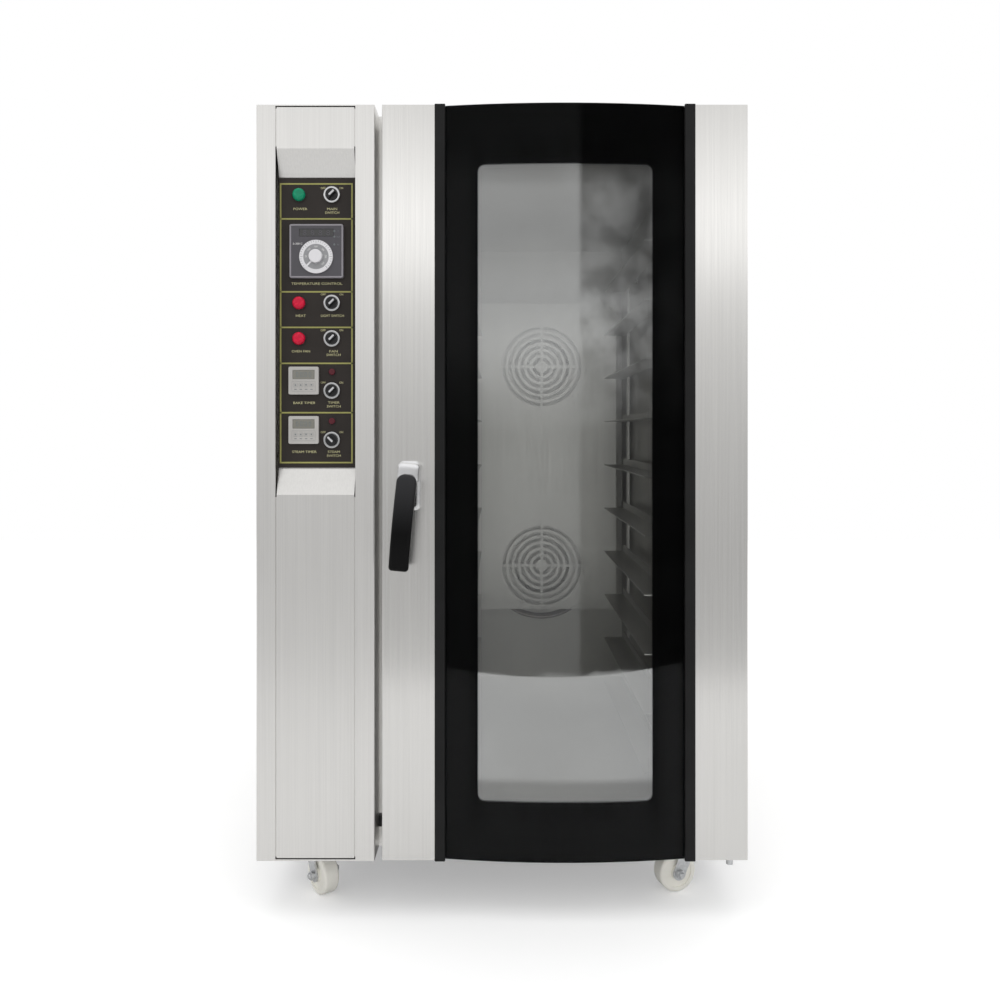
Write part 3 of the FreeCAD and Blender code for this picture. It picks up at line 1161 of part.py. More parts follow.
def door_pan():
    """Rear pan of the door, open to the front, its ends shaped to the back of the glass."""
    sheet = CASING_SHEET
    left, right = DOOR_LEFT + sheet, DOOR_RIGHT - sheet
    body = block(left, right, PAN_FRONT, DOOR_THICKNESS, PAN_BOTTOM, PAN_TOP)
    back_edges = [edge for edge in edges_along(body, Z_AXIS) if edge.CenterOfMass.y > DOOR_THICKNESS - 1]
    body = rounded(body, DOOR_BACK_RADIUS, back_edges)
    end_radius = BORDER_RADIUS - BORDER_THICKNESS - SLIDING_GAP
    reach = GLASS_HALF - SLIDING_GAP
    ends = []
    for low in (PAN_BOTTOM, PAN_TOP - sheet):
        lid = post(end_radius, DOOR_MIDDLE, GLASS_CENTRE, low, low + sheet)
        front = GLASS_CENTRE - end_radius - 1
        strip = block(DOOR_MIDDLE - reach, DOOR_MIDDLE + reach, front, PAN_FRONT + 1, low, low + sheet)
        ends.append(lid.common(strip))
    low, high = PAN_BOTTOM + sheet, PAN_TOP - sheet
    hollow = block(left + sheet, right - sheet, PAN_FRONT - 1, DOOR_THICKNESS - sheet, low, high)
    hollow_edges = [edge for edge in edges_along(hollow, Z_AXIS) if edge.CenterOfMass.y > PAN_FRONT]
    hollow = rounded(hollow, DOOR_BACK_RADIUS - sheet, hollow_edges)
    pan = joined([cut(body, [hollow])] + [end.Solids[0] for end in ends])
    wide, tall = INNER_WINDOW_WIDTH / 2, INNER_WINDOW_HEIGHT / 2
    middle = CAVITY_CENTRE_HEIGHT
    low, high = DOOR_THICKNESS - 2 * sheet, DOOR_THICKNESS + 1
    window = rounded_slab(
        DOOR_MIDDLE - wide, DOOR_MIDDLE + wide, low, high, middle - tall, middle + tall, WINDOW_CORNER
    )
    spindle = disc(SPINDLE_RADIUS + 2 * HOLE_GAP, HANDLE_X, HANDLE_HEIGHT, low, high)
    bush_radius = HINGE_BUSH_RADIUS + RUNNING_GAP
    bushes = [post(bush_radius, HINGE_X, HINGE_DEPTH, PAN_BOTTOM - 1, PAN_BOTTOM + 2 * sheet)]
    bushes.append(post(bush_radius, HINGE_X, HINGE_DEPTH, PAN_TOP - 2 * sheet, PAN_TOP + 1))
    return cut(pan, [window, spindle] + bushes)


def inner_glass():
    """Flat pane behind the opening of the pan."""
    wide = INNER_WINDOW_WIDTH / 2 + INNER_GLASS_LAP
    tall = INNER_WINDOW_HEIGHT / 2 + INNER_GLASS_LAP
    back = DOOR_THICKNESS - CASING_SHEET - SLIDING_GAP
    middle = CAVITY_CENTRE_HEIGHT
    front = back - INNER_GLASS_THICKNESS
    return block(DOOR_MIDDLE - wide, DOOR_MIDDLE + wide, front, back, middle - tall, middle + tall)


def inner_glass_frame():
    """Four angles that clamp the inner pane to the pan."""
    gap, sheet = SLIDING_GAP, INNER_FRAME_SHEET
    back = DOOR_THICKNESS - CASING_SHEET
    over = back - INNER_GLASS_THICKNESS - 2 * gap
    wide = INNER_WINDOW_WIDTH / 2 + INNER_GLASS_LAP + gap
    tall = INNER_WINDOW_HEIGHT / 2 + INNER_GLASS_LAP + gap
    lip = INNER_FRAME_LIP
    middle = CAVITY_CENTRE_HEIGHT
    left, right, low, high = DOOR_MIDDLE - wide, DOOR_MIDDLE + wide, middle - tall, middle + tall
    outer = block(left - sheet, right + sheet, over - sheet, back, low - sheet, high + sheet)
    pocket = block(left, right, over, back + 1, low, high)
    opening = block(left + lip, right - lip, over - sheet - 1, back + 1, low + lip, high - lip)
    return cut(outer, [pocket, opening])


def seal_slab(wide, tall, front, back, corner):
    """Slab with round corners, centred on the cavity mouth."""
    x, z = DOOR_MIDDLE, CAVITY_CENTRE_HEIGHT
    return rounded_slab(x - wide, x + wide, front, back, z - tall, z + tall, corner)


def door_seal():
    """Soft ring on the back of the door around the cavity mouth, in four bars and four corners."""
    inner_wide, inner_tall = CAVITY_WIDTH / 2 + SEAL_OFFSET, CAVITY_HEIGHT / 2 + SEAL_OFFSET
    wide, tall = inner_wide + SEAL_WIDTH, inner_tall + SEAL_WIDTH
    front, back = DOOR_THICKNESS, SEAL_BACK
    outer = seal_slab(wide, tall, front, back, SEAL_CORNER)
    inner = seal_slab(inner_wide, inner_tall, front - 1, back + 1, SEAL_CORNER - SEAL_WIDTH)
    ring = cut(outer, [inner])
    crest = [edge for edge in ring.Edges if edge.BoundBox.YMin > back - 0.01]
    ring = rounded(ring, SEAL_WIDTH / 4, crest)
    columns = [DOOR_MIDDLE + side for side in (-wide, SEAL_CORNER - wide, wide - SEAL_CORNER, wide)]
    rows = [CAVITY_CENTRE_HEIGHT + end for end in (-tall, SEAL_CORNER - tall, tall - SEAL_CORNER, tall)]
    pieces = []
    for left, right in zip(columns, columns[1:]):
        for low, high in zip(rows, rows[1:]):
            pieces += ring.common(block(left, right, front, back, low, high)).Solids
    return pieces


def upper_arm_heights():
    """Lower and upper face of the upper hinge arm, in the recess above the pan."""
    low = PAN_TOP + 2 * DOOR_FLOOR_GAP
    return low, low + HINGE_ARM_THICKNESS


def hinge_arm(low, pin_up):
    """Arm with a round end and a pin, seen from above pointing to the front."""
    half = HINGE_ARM_WIDTH / 2
    high = low + HINGE_ARM_THICKNESS
    if pin_up:
        end = FASCIA_BACK + HINGE_ARM_GRIP
        pin = post(HINGE_PIN_RADIUS, HINGE_X, HINGE_DEPTH, high, high + HINGE_PIN_LENGTH)
    else:
        end = FASCIA_BACK + HINGE_ARM_THICKNESS
        pin = post(HINGE_PIN_RADIUS, HINGE_X, HINGE_DEPTH, low - HINGE_PIN_LENGTH, low)
    arm = block(HINGE_X - half, HINGE_X + half, HINGE_DEPTH, end, low, high)
    tip = post(half, HINGE_X, HINGE_DEPTH, low - HINGE_FOOT if pin_up else low, high)
    return [arm, tip, pin]


def door_hinges():
    """Lower arm under the base frame and upper arm through the fascia with a plate behind it."""
    lower = joined(hinge_arm(UNDER - HINGE_ARM_THICKNESS, True))
    low, high = upper_arm_heights()
    half = HINGE_PLATE_WIDTH / 2
    back = FASCIA_BACK + HINGE_ARM_THICKNESS
    right = min(HINGE_X + half, INNER_RIGHT)
    top = min(high, TOP - CASING_FLANGE)
    plate = block(HINGE_X - half, right, FASCIA_BACK, back, top - HINGE_PLATE_HEIGHT, high)
    upper = joined(hinge_arm(low, False) + [plate])
    return [lower, upper]


def hinge_bushes():
    """Bush at the bottom and at the top of the door, around the hinge pins."""
    bore_radius = HINGE_PIN_RADIUS + RUNNING_GAP
    bushes = []
    lower_start = UNDER + SLIDING_GAP
    upper_start = PAN_TOP - HINGE_BUSH_LENGTH
    for low in (lower_start, upper_start):
        high = low + HINGE_BUSH_LENGTH
        bush = post(HINGE_BUSH_RADIUS, HINGE_X, HINGE_DEPTH, low, high)
        bushes.append(cut(bush, [post(bore_radius, HINGE_X, HINGE_DEPTH, low - 1, high + 1)]))
    return bushes


# Handle

def handle_base():
    """Chrome plate on the stile with a hole for the spindle."""
    x, z = HANDLE_X, HANDLE_HEIGHT
    half = BASE_PLATE_WIDTH / 2
    low, high = z - BASE_PLATE_BELOW, z + BASE_PLATE_ABOVE
    plate = rounded_slab(x - half, x + half, -BASE_PLATE_THICKNESS, 0, low, high, BASE_PLATE_CORNER)
    rim = [edge for edge in plate.Edges if edge.BoundBox.YMax < -BASE_PLATE_THICKNESS + 0.01]
    plate = rounded(plate, BASE_PLATE_ROUNDING, rim)
    hole = disc(SPINDLE_RADIUS + RUNNING_GAP, x, z, -BASE_PLATE_THICKNESS - 1, 1)
    return cut(plate, [hole])


def grip_profile():
    """Side view of the grip: two arcs bowed to the front, joined by short ends."""
    x, z = HANDLE_X, HANDLE_HEIGHT
    top = z + GRIP_TOP
    bottom = top - GRIP_LENGTH
    middle = (top + bottom) / 2
    front = -GRIP_REACH
    ends = front + GRIP_BOW
    back = ends + GRIP_THICKNESS
    outer = Part.Arc(V(x, ends, top), V(x, front, middle), V(x, ends, bottom)).toShape()
    lower = Part.LineSegment(V(x, ends, bottom), V(x, back, bottom)).toShape()
    inner = Part.Arc(V(x, back, bottom), V(x, front + GRIP_THICKNESS, middle), V(x, back, top)).toShape()
    upper = Part.LineSegment(V(x, back, top), V(x, ends, top)).toShape()
    return Part.Face(Part.Wire([outer, lower, inner, upper]))


def tang():
    """Tongue of the head inside the grip, with the neck that joins it to the head."""
    x, z = HANDLE_X, HANDLE_HEIGHT
    half = TANG_WIDTH / 2
    middle = -GRIP_REACH + GRIP_BOW / 2 + GRIP_THICKNESS / 2
    front = middle - TANG_THICKNESS / 2
    head_front = -BASE_PLATE_THICKNESS - SLIDING_GAP - HEAD_DEPTH
    top = z + GRIP_TOP - TANG_COVER
    tongue = block(x - half, x + half, front, front + TANG_THICKNESS, z - TANG_LENGTH, top)
    neck = block(x - half, x + half, front, head_front + HEAD_CORNER, z - HEAD_BELOW, top)
    return joined([tongue, neck])


def handle_grip():
    """Black bowed grip, rounded all over, hanging from the head."""
    half = GRIP_WIDTH / 2
    bar = grip_profile().extrude(V(GRIP_WIDTH, 0, 0))
    bar.translate(V(-half, 0, 0))
    top = HANDLE_HEIGHT + GRIP_TOP
    shoulders = [edge for edge in edges_along(bar, Y_AXIS) if edge.CenterOfMass.z > top - 1]
    bar = rounded(bar.Solids[0], GRIP_SHOULDER, shoulders)
    bar = rounded(bar, GRIP_ROUNDING, bar.Edges)
    bar = cut(bar, [tang(), handle_head(HOLE_GAP)])
    return turned(bar, V(HANDLE_X, 0, HANDLE_HEIGHT), Y_AXIS, HANDLE_TILT)


def handle_head(extra):
    """Chrome head over the upper end of the base plate."""
    x, z = HANDLE_X, HANDLE_HEIGHT
    half = HEAD_WIDTH / 2 + extra
    back = -BASE_PLATE_THICKNESS - SLIDING_GAP
    front = back - HEAD_DEPTH - extra
    head = block(x - half, x + half, front, back, z - HEAD_BELOW - extra, z + HEAD_ABOVE + extra)
    head = rounded(head, HEAD_CORNER, edges_along(head, Y_AXIS))
    rim = [edge for edge in head.Edges if edge.BoundBox.YMax < front + 0.01]
    return rounded(head, HEAD_ROUNDING, rim)


def handle_lever():
    """Head with its tongue, the spindle through the door and the latch hook behind the fascia."""
    x, z = HANDLE_X, HANDLE_HEIGHT
    head = joined([handle_head(0), tang()])
    head = turned(head, V(x, 0, z), Y_AXIS, HANDLE_TILT)
    spindle = disc(SPINDLE_RADIUS, x, z, -BASE_PLATE_THICKNESS - SLIDING_GAP, HOOK_FRONT)
    hook_back = HOOK_FRONT + HOOK_THICKNESS
    half = HOOK_WIDTH / 2
    hook = block(x - half, x + half, HOOK_FRONT, hook_back, z, z + HOOK_LENGTH)
    eye = disc(SPINDLE_RADIUS + HOOK_EYE, x, z, HOOK_FRONT, hook_back)
    return [head, spindle, joined([hook, eye])]


def latch_keeper():
    """Plate behind the latch hole that the hook turns behind."""
    right = HANDLE_X - HOOK_WIDTH / 2 - HOOK_CLEARANCE
    left = max(right - KEEPER_WIDTH, PARTITION_RIGHT)
    low = HANDLE_HEIGHT + SPINDLE_RADIUS + 2 * HOOK_CLEARANCE
    return block(left, right, FASCIA_BACK, FASCIA_BACK + KEEPER_THICKNESS, low, low + KEEPER_HEIGHT)


def door_switch():
    """Flat switch body on the fascia, half of it behind the edge of the door."""
    right, high = SWITCH_LEFT + SWITCH_WIDTH, SWITCH_BOTTOM + SWITCH_HEIGHT
    body = block(SWITCH_LEFT, right, SWITCH_FRONT, FRONT_STEP, SWITCH_BOTTOM, high)
    hole_end = PLUNGER_FRONT + PLUNGER_LENGTH + PLUNGER_TRAVEL
    hole = disc(PLUNGER_RADIUS + RUNNING_GAP, PLUNGER_X, PLUNGER_HEIGHT, SWITCH_FRONT - 1, hole_end)
    return cut(body, [hole])


def switch_plunger():
    """Round plunger that the closed door pushes in."""
    pin = disc(PLUNGER_RADIUS, PLUNGER_X, PLUNGER_HEIGHT, PLUNGER_FRONT, PLUNGER_FRONT + PLUNGER_LENGTH)
    rim = [edge for edge in pin.Edges if edge.CenterOfMass.y < PLUNGER_FRONT + 0.1 and edge.Closed]
    return rounded(pin, PLUNGER_ROUNDING, rim)


# Casters, each made pointing to the front and then turned about its kingpin

def caster_plate(x, y):
    """Top plate, upper race, kingpin and rivet head of one caster."""
    half_length, half_width = CASTER_PLATE_LENGTH / 2, CASTER_PLATE_WIDTH / 2
    low = UNDER - CASTER_PLATE
    plate = block(x - half_length, x + half_length, y - half_width, y + half_width, low, UNDER)
    race = post(CASTER_RACE_RADIUS, x, y, RACE_BOTTOM, low)
    pin = post(KINGPIN_RADIUS, x, y, RIVET_TOP, RACE_BOTTOM)
    rivet = post(RIVET_RADIUS, x, y, RIVET_TOP - RIVET, RIVET_TOP)
    return joined([plate, race, pin, rivet])


def caster_fork(x, y, angle):
    """Crown and two legs with the axle bolt."""
    axle_y = y - CASTER_TRAIL
    crown = post(CROWN_RADIUS, x, y, CROWN_BOTTOM, CROWN_TOP)
    pieces = [crown]
    for side in (-1, 1):
        inside = x + side * FORK_INSIDE
        shift = V(side * FORK_SHEET, 0, 0)
        top_half = CROWN_RADIUS * 0.62
        leg = [
            V(inside, y + top_half, CROWN_TOP),
            V(inside, y - top_half, CROWN_TOP),
            V(inside, axle_y - FORK_BOSS_RADIUS, WHEEL_RADIUS),
            V(inside, axle_y + FORK_BOSS_RADIUS, WHEEL_RADIUS),
        ]
        pieces.append(prism(leg, shift))
        foot = V(inside, axle_y, WHEEL_RADIUS)
        pieces.append(rod(FORK_BOSS_RADIUS, foot, foot + shift))
        pieces.append(rod(AXLE_HEAD_RADIUS, foot + shift, foot + shift + V(side * AXLE_HEAD, 0, 0)))
    reach = FORK_INSIDE + FORK_SHEET
    pieces.append(rod(AXLE_RADIUS, V(x - reach, axle_y, WHEEL_RADIUS), V(x + reach, axle_y, WHEEL_RADIUS)))
    hole = post(KINGPIN_RADIUS + RUNNING_GAP, x, y, CROWN_BOTTOM - 1, CROWN_TOP + 1)
    return turned(cut(joined(pieces), [hole]), V(x, y, 0), Z_AXIS, angle)


def caster_wheel(x, y, angle):
    """Solid wheel with rounded tread, dished sides and a hub."""
    axle_y = y - CASTER_TRAIL
    half = WHEEL_WIDTH / 2
    centre = V(x, axle_y, WHEEL_RADIUS)
    tread = rod(WHEEL_RADIUS, centre - V(half, 0, 0), centre + V(half, 0, 0))
    rims = [edge for edge in tread.Edges if edge.Closed and abs(edge.CenterOfMass.x - x) > half - 0.1]
    tread = rounded(tread, WHEEL_ROUNDING, rims)
    hub = rod(WHEEL_HUB_RADIUS, centre - V(WHEEL_FACE, 0, 0), centre + V(WHEEL_FACE, 0, 0))
    dish_outer = WHEEL_RADIUS - 2 * WHEEL_ROUNDING
    dishes = []
    for side in (-1, 1):
        start = centre + V(side * (half - WHEEL_HUB_PROUD), 0, 0)
        end = centre + V(side * (half + 1), 0, 0)
        dish = rod(dish_outer, start, end)
        dishes.append(dish.cut(rod(WHEEL_HUB_RADIUS, start, end)))
    bore = rod(AXLE_RADIUS + RUNNING_GAP, centre - V(WHEEL_FACE + 1, 0, 0), centre + V(WHEEL_FACE + 1, 0, 0))
    return turned(cut(joined([tread, hub]), dishes + [bore]), V(x, y, 0), Z_AXIS, angle)


def build():
    """All pieces by name, each a list of solids."""
    pieces = {
        "base_frame": base_frame(),
        "left_side_panel": [side_panel(-1)],
        "right_side_panel": [side_panel(1)],
        "top_panel": [top_panel()],
        "rear_panel": [rear_panel()],
        "front_fascia": front_fascia(),
        "inner_partition": inner_partition(),
        "cavity_liner": cavity_liner(),
        "insulation": insulation(),
        "fan_baffle": [fan_baffle()],
        "fan_motors": [fan_motor(height) for height in FAN_HEIGHTS.values()],
        "heating_elements": heating_rings(FAN_HEIGHTS["upper"]) + heating_rings(FAN_HEIGHTS["lower"]),
        "tray_racks": tray_rack(-1) + tray_rack(1),
        "cavity_lamp": cavity_lamp(),
        "steam_supply": [steam_supply()],
        "exhaust_flue": [exhaust_flue()],
        "cable_gland": [cable_gland()],
        "switchgear": switchgear(),
        "column_casing": [column_casing()],
        "column_cover": [column_cover()],
        "control_plate": [control_plate()],
        "selector_bodies": [selector_body(row) for row in SELECTOR_ROWS.values()],
        "temperature_controller": [temperature_controller()],
        "temperature_dial": [temperature_dial()],
        "timers": [timer(row) for row in TIMER_ROWS],
        "power_lamp": [panel_lamp(POWER_ROW)],
        "red_lamps": [panel_lamp(row) for row in RED_LAMP_ROWS],
        "timer_lamps": [small_lamp(row) for row in SMALL_LAMP_ROWS],
        "door_pan": [door_pan()],
        "door_stiles": [door_stile(-1), door_stile(1)],
        "glass_trims": [glass_trim(-1), glass_trim(1)],
        "outer_glass": [glass_space(0)],
        "glass_border": [glass_border()],
        "inner_glass": [inner_glass()],
        "inner_glass_frame": [inner_glass_frame()],
        "door_seal": door_seal(),
        "door_hinges": door_hinges(),
        "hinge_bushes": hinge_bushes(),
        "handle_base": [handle_base()],
        "handle_lever": handle_lever(),
        "handle_grip": [handle_grip()],
        "latch_keeper": [latch_keeper()],
        "door_switch": [door_switch()],
        "switch_plunger": [switch_plunger()],
        "upper_impeller": impeller(FAN_HEIGHTS["upper"]),
        "lower_impeller": impeller(FAN_HEIGHTS["lower"]),
        "caster_plates": [caster_plate(x, y) for x, y in CASTER_PLACES.values()],
    }
    for name in SELECTOR_ROWS:
        pieces[name] = [selector_knob(name)]
    for name, (x, y) in CASTER_PLACES.items():
        pieces[name + "_fork"] = [caster_fork(x, y, SWIVEL_ANGLES[name])]
        pieces[name + "_wheel"] = [caster_wheel(x, y, SWIVEL_ANGLES[name])]
    return pieces


def main():
    os.makedirs("parts", exist_ok=True)
    for name, solids in build().items():
        shape = solids[0] if len(solids) == 1 else Part.makeCompound(solids)
        shape.translate(V(0, -ORIGIN_DEPTH, 0))
        shape.exportStep(os.path.join("parts", name + ".step"))


if __name__ == "__main__":
    main()
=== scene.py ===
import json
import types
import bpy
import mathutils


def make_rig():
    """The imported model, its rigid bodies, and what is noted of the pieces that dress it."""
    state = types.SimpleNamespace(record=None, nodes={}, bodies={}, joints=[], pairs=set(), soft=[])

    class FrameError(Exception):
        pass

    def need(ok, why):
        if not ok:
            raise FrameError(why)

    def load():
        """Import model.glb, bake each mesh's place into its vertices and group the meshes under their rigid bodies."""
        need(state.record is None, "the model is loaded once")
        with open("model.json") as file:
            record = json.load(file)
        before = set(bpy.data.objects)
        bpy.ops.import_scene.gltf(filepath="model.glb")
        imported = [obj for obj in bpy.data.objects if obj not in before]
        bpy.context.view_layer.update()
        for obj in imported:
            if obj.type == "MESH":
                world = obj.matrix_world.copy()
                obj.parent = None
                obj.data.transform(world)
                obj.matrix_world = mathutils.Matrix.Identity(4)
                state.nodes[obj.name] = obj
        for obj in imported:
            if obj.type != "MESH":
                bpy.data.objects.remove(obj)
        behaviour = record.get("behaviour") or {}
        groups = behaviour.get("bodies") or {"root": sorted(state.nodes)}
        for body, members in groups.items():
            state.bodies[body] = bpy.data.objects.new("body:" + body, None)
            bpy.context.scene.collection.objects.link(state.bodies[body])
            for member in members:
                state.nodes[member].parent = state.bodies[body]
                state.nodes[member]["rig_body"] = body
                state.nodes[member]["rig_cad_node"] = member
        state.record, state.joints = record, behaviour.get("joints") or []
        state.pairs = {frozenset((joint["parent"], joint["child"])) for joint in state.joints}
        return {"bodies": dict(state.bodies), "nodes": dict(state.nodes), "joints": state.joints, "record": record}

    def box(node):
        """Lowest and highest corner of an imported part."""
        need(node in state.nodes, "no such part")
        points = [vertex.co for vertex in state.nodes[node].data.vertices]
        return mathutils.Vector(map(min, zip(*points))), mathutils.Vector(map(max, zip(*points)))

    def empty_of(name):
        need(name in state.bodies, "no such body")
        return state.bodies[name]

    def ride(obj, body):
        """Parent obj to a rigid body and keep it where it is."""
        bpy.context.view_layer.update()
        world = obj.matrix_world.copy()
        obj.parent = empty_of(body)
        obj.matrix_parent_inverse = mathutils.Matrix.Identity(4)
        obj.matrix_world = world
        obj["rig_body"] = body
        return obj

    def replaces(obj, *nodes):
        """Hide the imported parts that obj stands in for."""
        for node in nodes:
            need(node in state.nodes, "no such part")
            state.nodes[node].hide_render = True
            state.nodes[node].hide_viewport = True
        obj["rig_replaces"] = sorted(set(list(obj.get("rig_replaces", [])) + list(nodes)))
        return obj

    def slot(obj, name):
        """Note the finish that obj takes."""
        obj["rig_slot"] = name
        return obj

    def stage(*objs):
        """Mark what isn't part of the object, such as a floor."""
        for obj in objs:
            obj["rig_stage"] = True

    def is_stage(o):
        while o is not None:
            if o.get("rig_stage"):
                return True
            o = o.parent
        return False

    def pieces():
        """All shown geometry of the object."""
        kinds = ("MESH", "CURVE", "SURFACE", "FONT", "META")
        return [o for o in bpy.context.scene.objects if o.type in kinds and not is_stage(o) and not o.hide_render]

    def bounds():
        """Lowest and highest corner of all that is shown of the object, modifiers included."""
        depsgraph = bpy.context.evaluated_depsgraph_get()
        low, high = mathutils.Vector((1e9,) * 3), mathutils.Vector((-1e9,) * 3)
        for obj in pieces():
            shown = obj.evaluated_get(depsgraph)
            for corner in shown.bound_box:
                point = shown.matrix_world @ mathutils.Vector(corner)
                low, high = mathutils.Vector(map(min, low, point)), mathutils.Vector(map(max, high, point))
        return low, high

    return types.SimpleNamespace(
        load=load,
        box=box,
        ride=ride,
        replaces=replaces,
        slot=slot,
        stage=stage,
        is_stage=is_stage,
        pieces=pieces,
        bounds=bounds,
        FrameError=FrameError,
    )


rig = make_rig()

bl_info = {
    "name": "Convection Oven",
    "version": (1, 0, 0),
    "blender": (4, 5, 0),
    "location": "3D View > Sidebar > Oven",
    "description": "Steel, glass, print and fittings of a convection oven on casters",
    "category": "Object",
}

import json
import math

import bmesh
import bpy
from mathutils import Matrix, Vector, noise

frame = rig.load()
NODES = frame["nodes"]
JOINTS = {joint["name"]: joint for joint in frame["joints"]}
CAD_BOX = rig.bounds()
FINISHES = {}
CASTERS = ("front_left", "front_right", "rear_left", "rear_right")
KNOBS = ("power_knob", "light_knob", "fan_knob", "bake_timer_knob", "steam_timer_knob")
TO_FRONT, TO_REAR, DOWN = (0, -1, 0), (0, 1, 0), (0, 0, -1)
WHITE = (1.0, 1.0, 1.0, 1.0)
FOOT = 0.0004  # how deep the foot of a screw or bolt sits in its sheet
SUNK = 0.00005  # how deep a print sits in its plate


def colour(name, description, value):
    """Colour property of a finish."""
    return bpy.props.FloatVectorProperty(
        name=name, description=description, default=value, size=3, subtype="COLOR", min=0.0, max=1.0
    )


def amount(name, description, value, **limits):
    """Number property, with its unit and its lowest value where it has them."""
    return bpy.props.FloatProperty(name=name, description=description, default=value, **limits)


def length(name, description, value):
    """Length property in metres."""
    return amount(name, description, value, unit="LENGTH", min=0.0)


class OvenColours(bpy.types.PropertyGroup):
    steel: colour("Casing steel", "Brushed steel of the casing and the door", (0.76, 0.75, 0.73))
    cavity: colour("Cavity steel", "Satin steel of the baking cavity", (0.56, 0.55, 0.53))
    zinc: colour("Zinc", "Plated sheet of forks, hinges and partition", (0.66, 0.67, 0.68))
    chrome: colour("Chrome", "Polished rings and handle", (0.8, 0.8, 0.81))
    black: colour("Black plastic", "Grip, knobs and switch", (0.012, 0.012, 0.013))
    trim: colour("Trim", "Black strips at the edges of the glass", (0.012, 0.012, 0.012))
    panel: colour("Control plate", "Brown-black paint of the control plate", (0.030, 0.025, 0.022))
    line: colour("Print lines", "Olive-yellow lines of the control plate", (0.33, 0.32, 0.095))
    letters: colour("Print letters", "Pale letters of the control plate", (0.58, 0.55, 0.30))
    wheel: colour("Wheels", "Cream plastic of the wheels", (0.94, 0.92, 0.85))
    wool: colour("Mineral wool", "Slabs around the cavity", (0.55, 0.45, 0.22))
    green: colour("Power lamp", "Green lens", (0.002, 0.25, 0.125))
    red: colour("Red lamps", "Red lenses", (0.60, 0.006, 0.040))
    dark_red: colour("Timer lamps", "Small dark-red lenses", (0.10, 0.014, 0.022))


class OvenSizes(bpy.types.PropertyGroup):
    line: length("Line width", "Width of the printed lines", 0.0027)
    border: length("Border half width", "Printed border from the centre line", 0.0645)
    print_height: length("Print height", "How proud the print stands", 0.00015)
    window_wide: length("Window width", "Clear window in the black border", 0.311)
    window_tall: length("Window height", "Clear window in the black border", 1.133)
    window_corner: length("Window corner", "Corner radius of the clear window", 0.012)
    dot: length("Dot radius", "Largest dots along the window", 0.0011)
    dot_pitch: length("Dot pitch", "Distance between dots", 0.0044)
    screw: length("Screw radius", "Head of a panel screw", 0.0042)
    hood: length("Louvre depth", "How far a louvre stands out", 0.006)
    vent_long: length("Vent length", "Length of a vent slot", 0.110)
    vent_tall: length("Vent height", "Height of a vent slot", 0.007)
    vent_pitch: length("Vent pitch", "Distance between vent slots", 0.022)
    wool_step: length("Wool step", "Size of the tufts of the wool", 0.045)


class OvenStage(bpy.types.PropertyGroup):
    camera: bpy.props.FloatVectorProperty(
        name="Camera", description="Place of the camera", default=(-0.009, -2.18975, 0.8725),
        subtype="TRANSLATION",
    )
    lens: amount("Lens", "Focal length in millimetres", 32.2)
    shift_x: amount("Shift X", "Sideways shift of the lens", 0.003)
    shift_y: amount("Shift Y", "Upright shift of the lens", -0.068)
    floor_front: length("Floor front", "From the middle to the front edge of the floor", 2.20)
    lamp_power: amount("Overhead lamp", "Power of the soft lamp", 26.0, unit="POWER")
    oven_power: amount("Oven light", "Power of the light in the cavity", 0.75, unit="POWER")


# Finishes

class Nodes:
    """Node tree with short calls that add its nodes and link them."""

    def __init__(self, tree):
        self.tree = tree

    def node(self, kind, inputs=(), **settings):
        """New node with its settings, and its inputs set or linked."""
        made = self.tree.nodes.new(kind)
        for key, value in settings.items():
            setattr(made, key, value)
        for key, value in dict(inputs).items():
            self.give(made.inputs[key], value)
        return made

    def give(self, socket, value):
        """Links an output to a socket, or sets the socket's own value."""
        if isinstance(value, bpy.types.NodeSocket):
            self.tree.links.new(value, socket)
        else:
            socket.default_value = value

    def sums(self, operation, first, second=0.0):
        """Sum, product or other result of one or two values."""
        made = self.node("ShaderNodeMath", {0: first, 1: second}, operation=operation)
        return made.outputs["Value"]

    def vectors(self, operation, first, second=(0.0, 0.0, 0.0)):
        """The same with places or directions."""
        made = self.node("ShaderNodeVectorMath", {0: first, 1: second}, operation=operation)
        return made.outputs["Value" if operation == "LENGTH" else "Vector"]

    def between(self, factor, low, high, start=0.3, end=0.7, **settings):
        """Factor mapped to a range."""
        ends = {"From Min": start, "From Max": end, "To Min": low, "To Max": high}
        made = self.node("ShaderNodeMapRange", {"Value": factor, **ends}, **settings)
        return made.outputs["Result"]

    def slope(self, value, start, end):
        """Smooth rise from 0 to 1."""
        return self.between(value, 0.0, 1.0, start, end, interpolation_type="SMOOTHSTEP")

    def clouds(self, where, scale=1.0, detail=4.0):
        """Uneven tone."""
        values = {"Vector": where, "Scale": scale, "Detail": detail}
        return self.node("ShaderNodeTexNoise", values).outputs["Fac"]


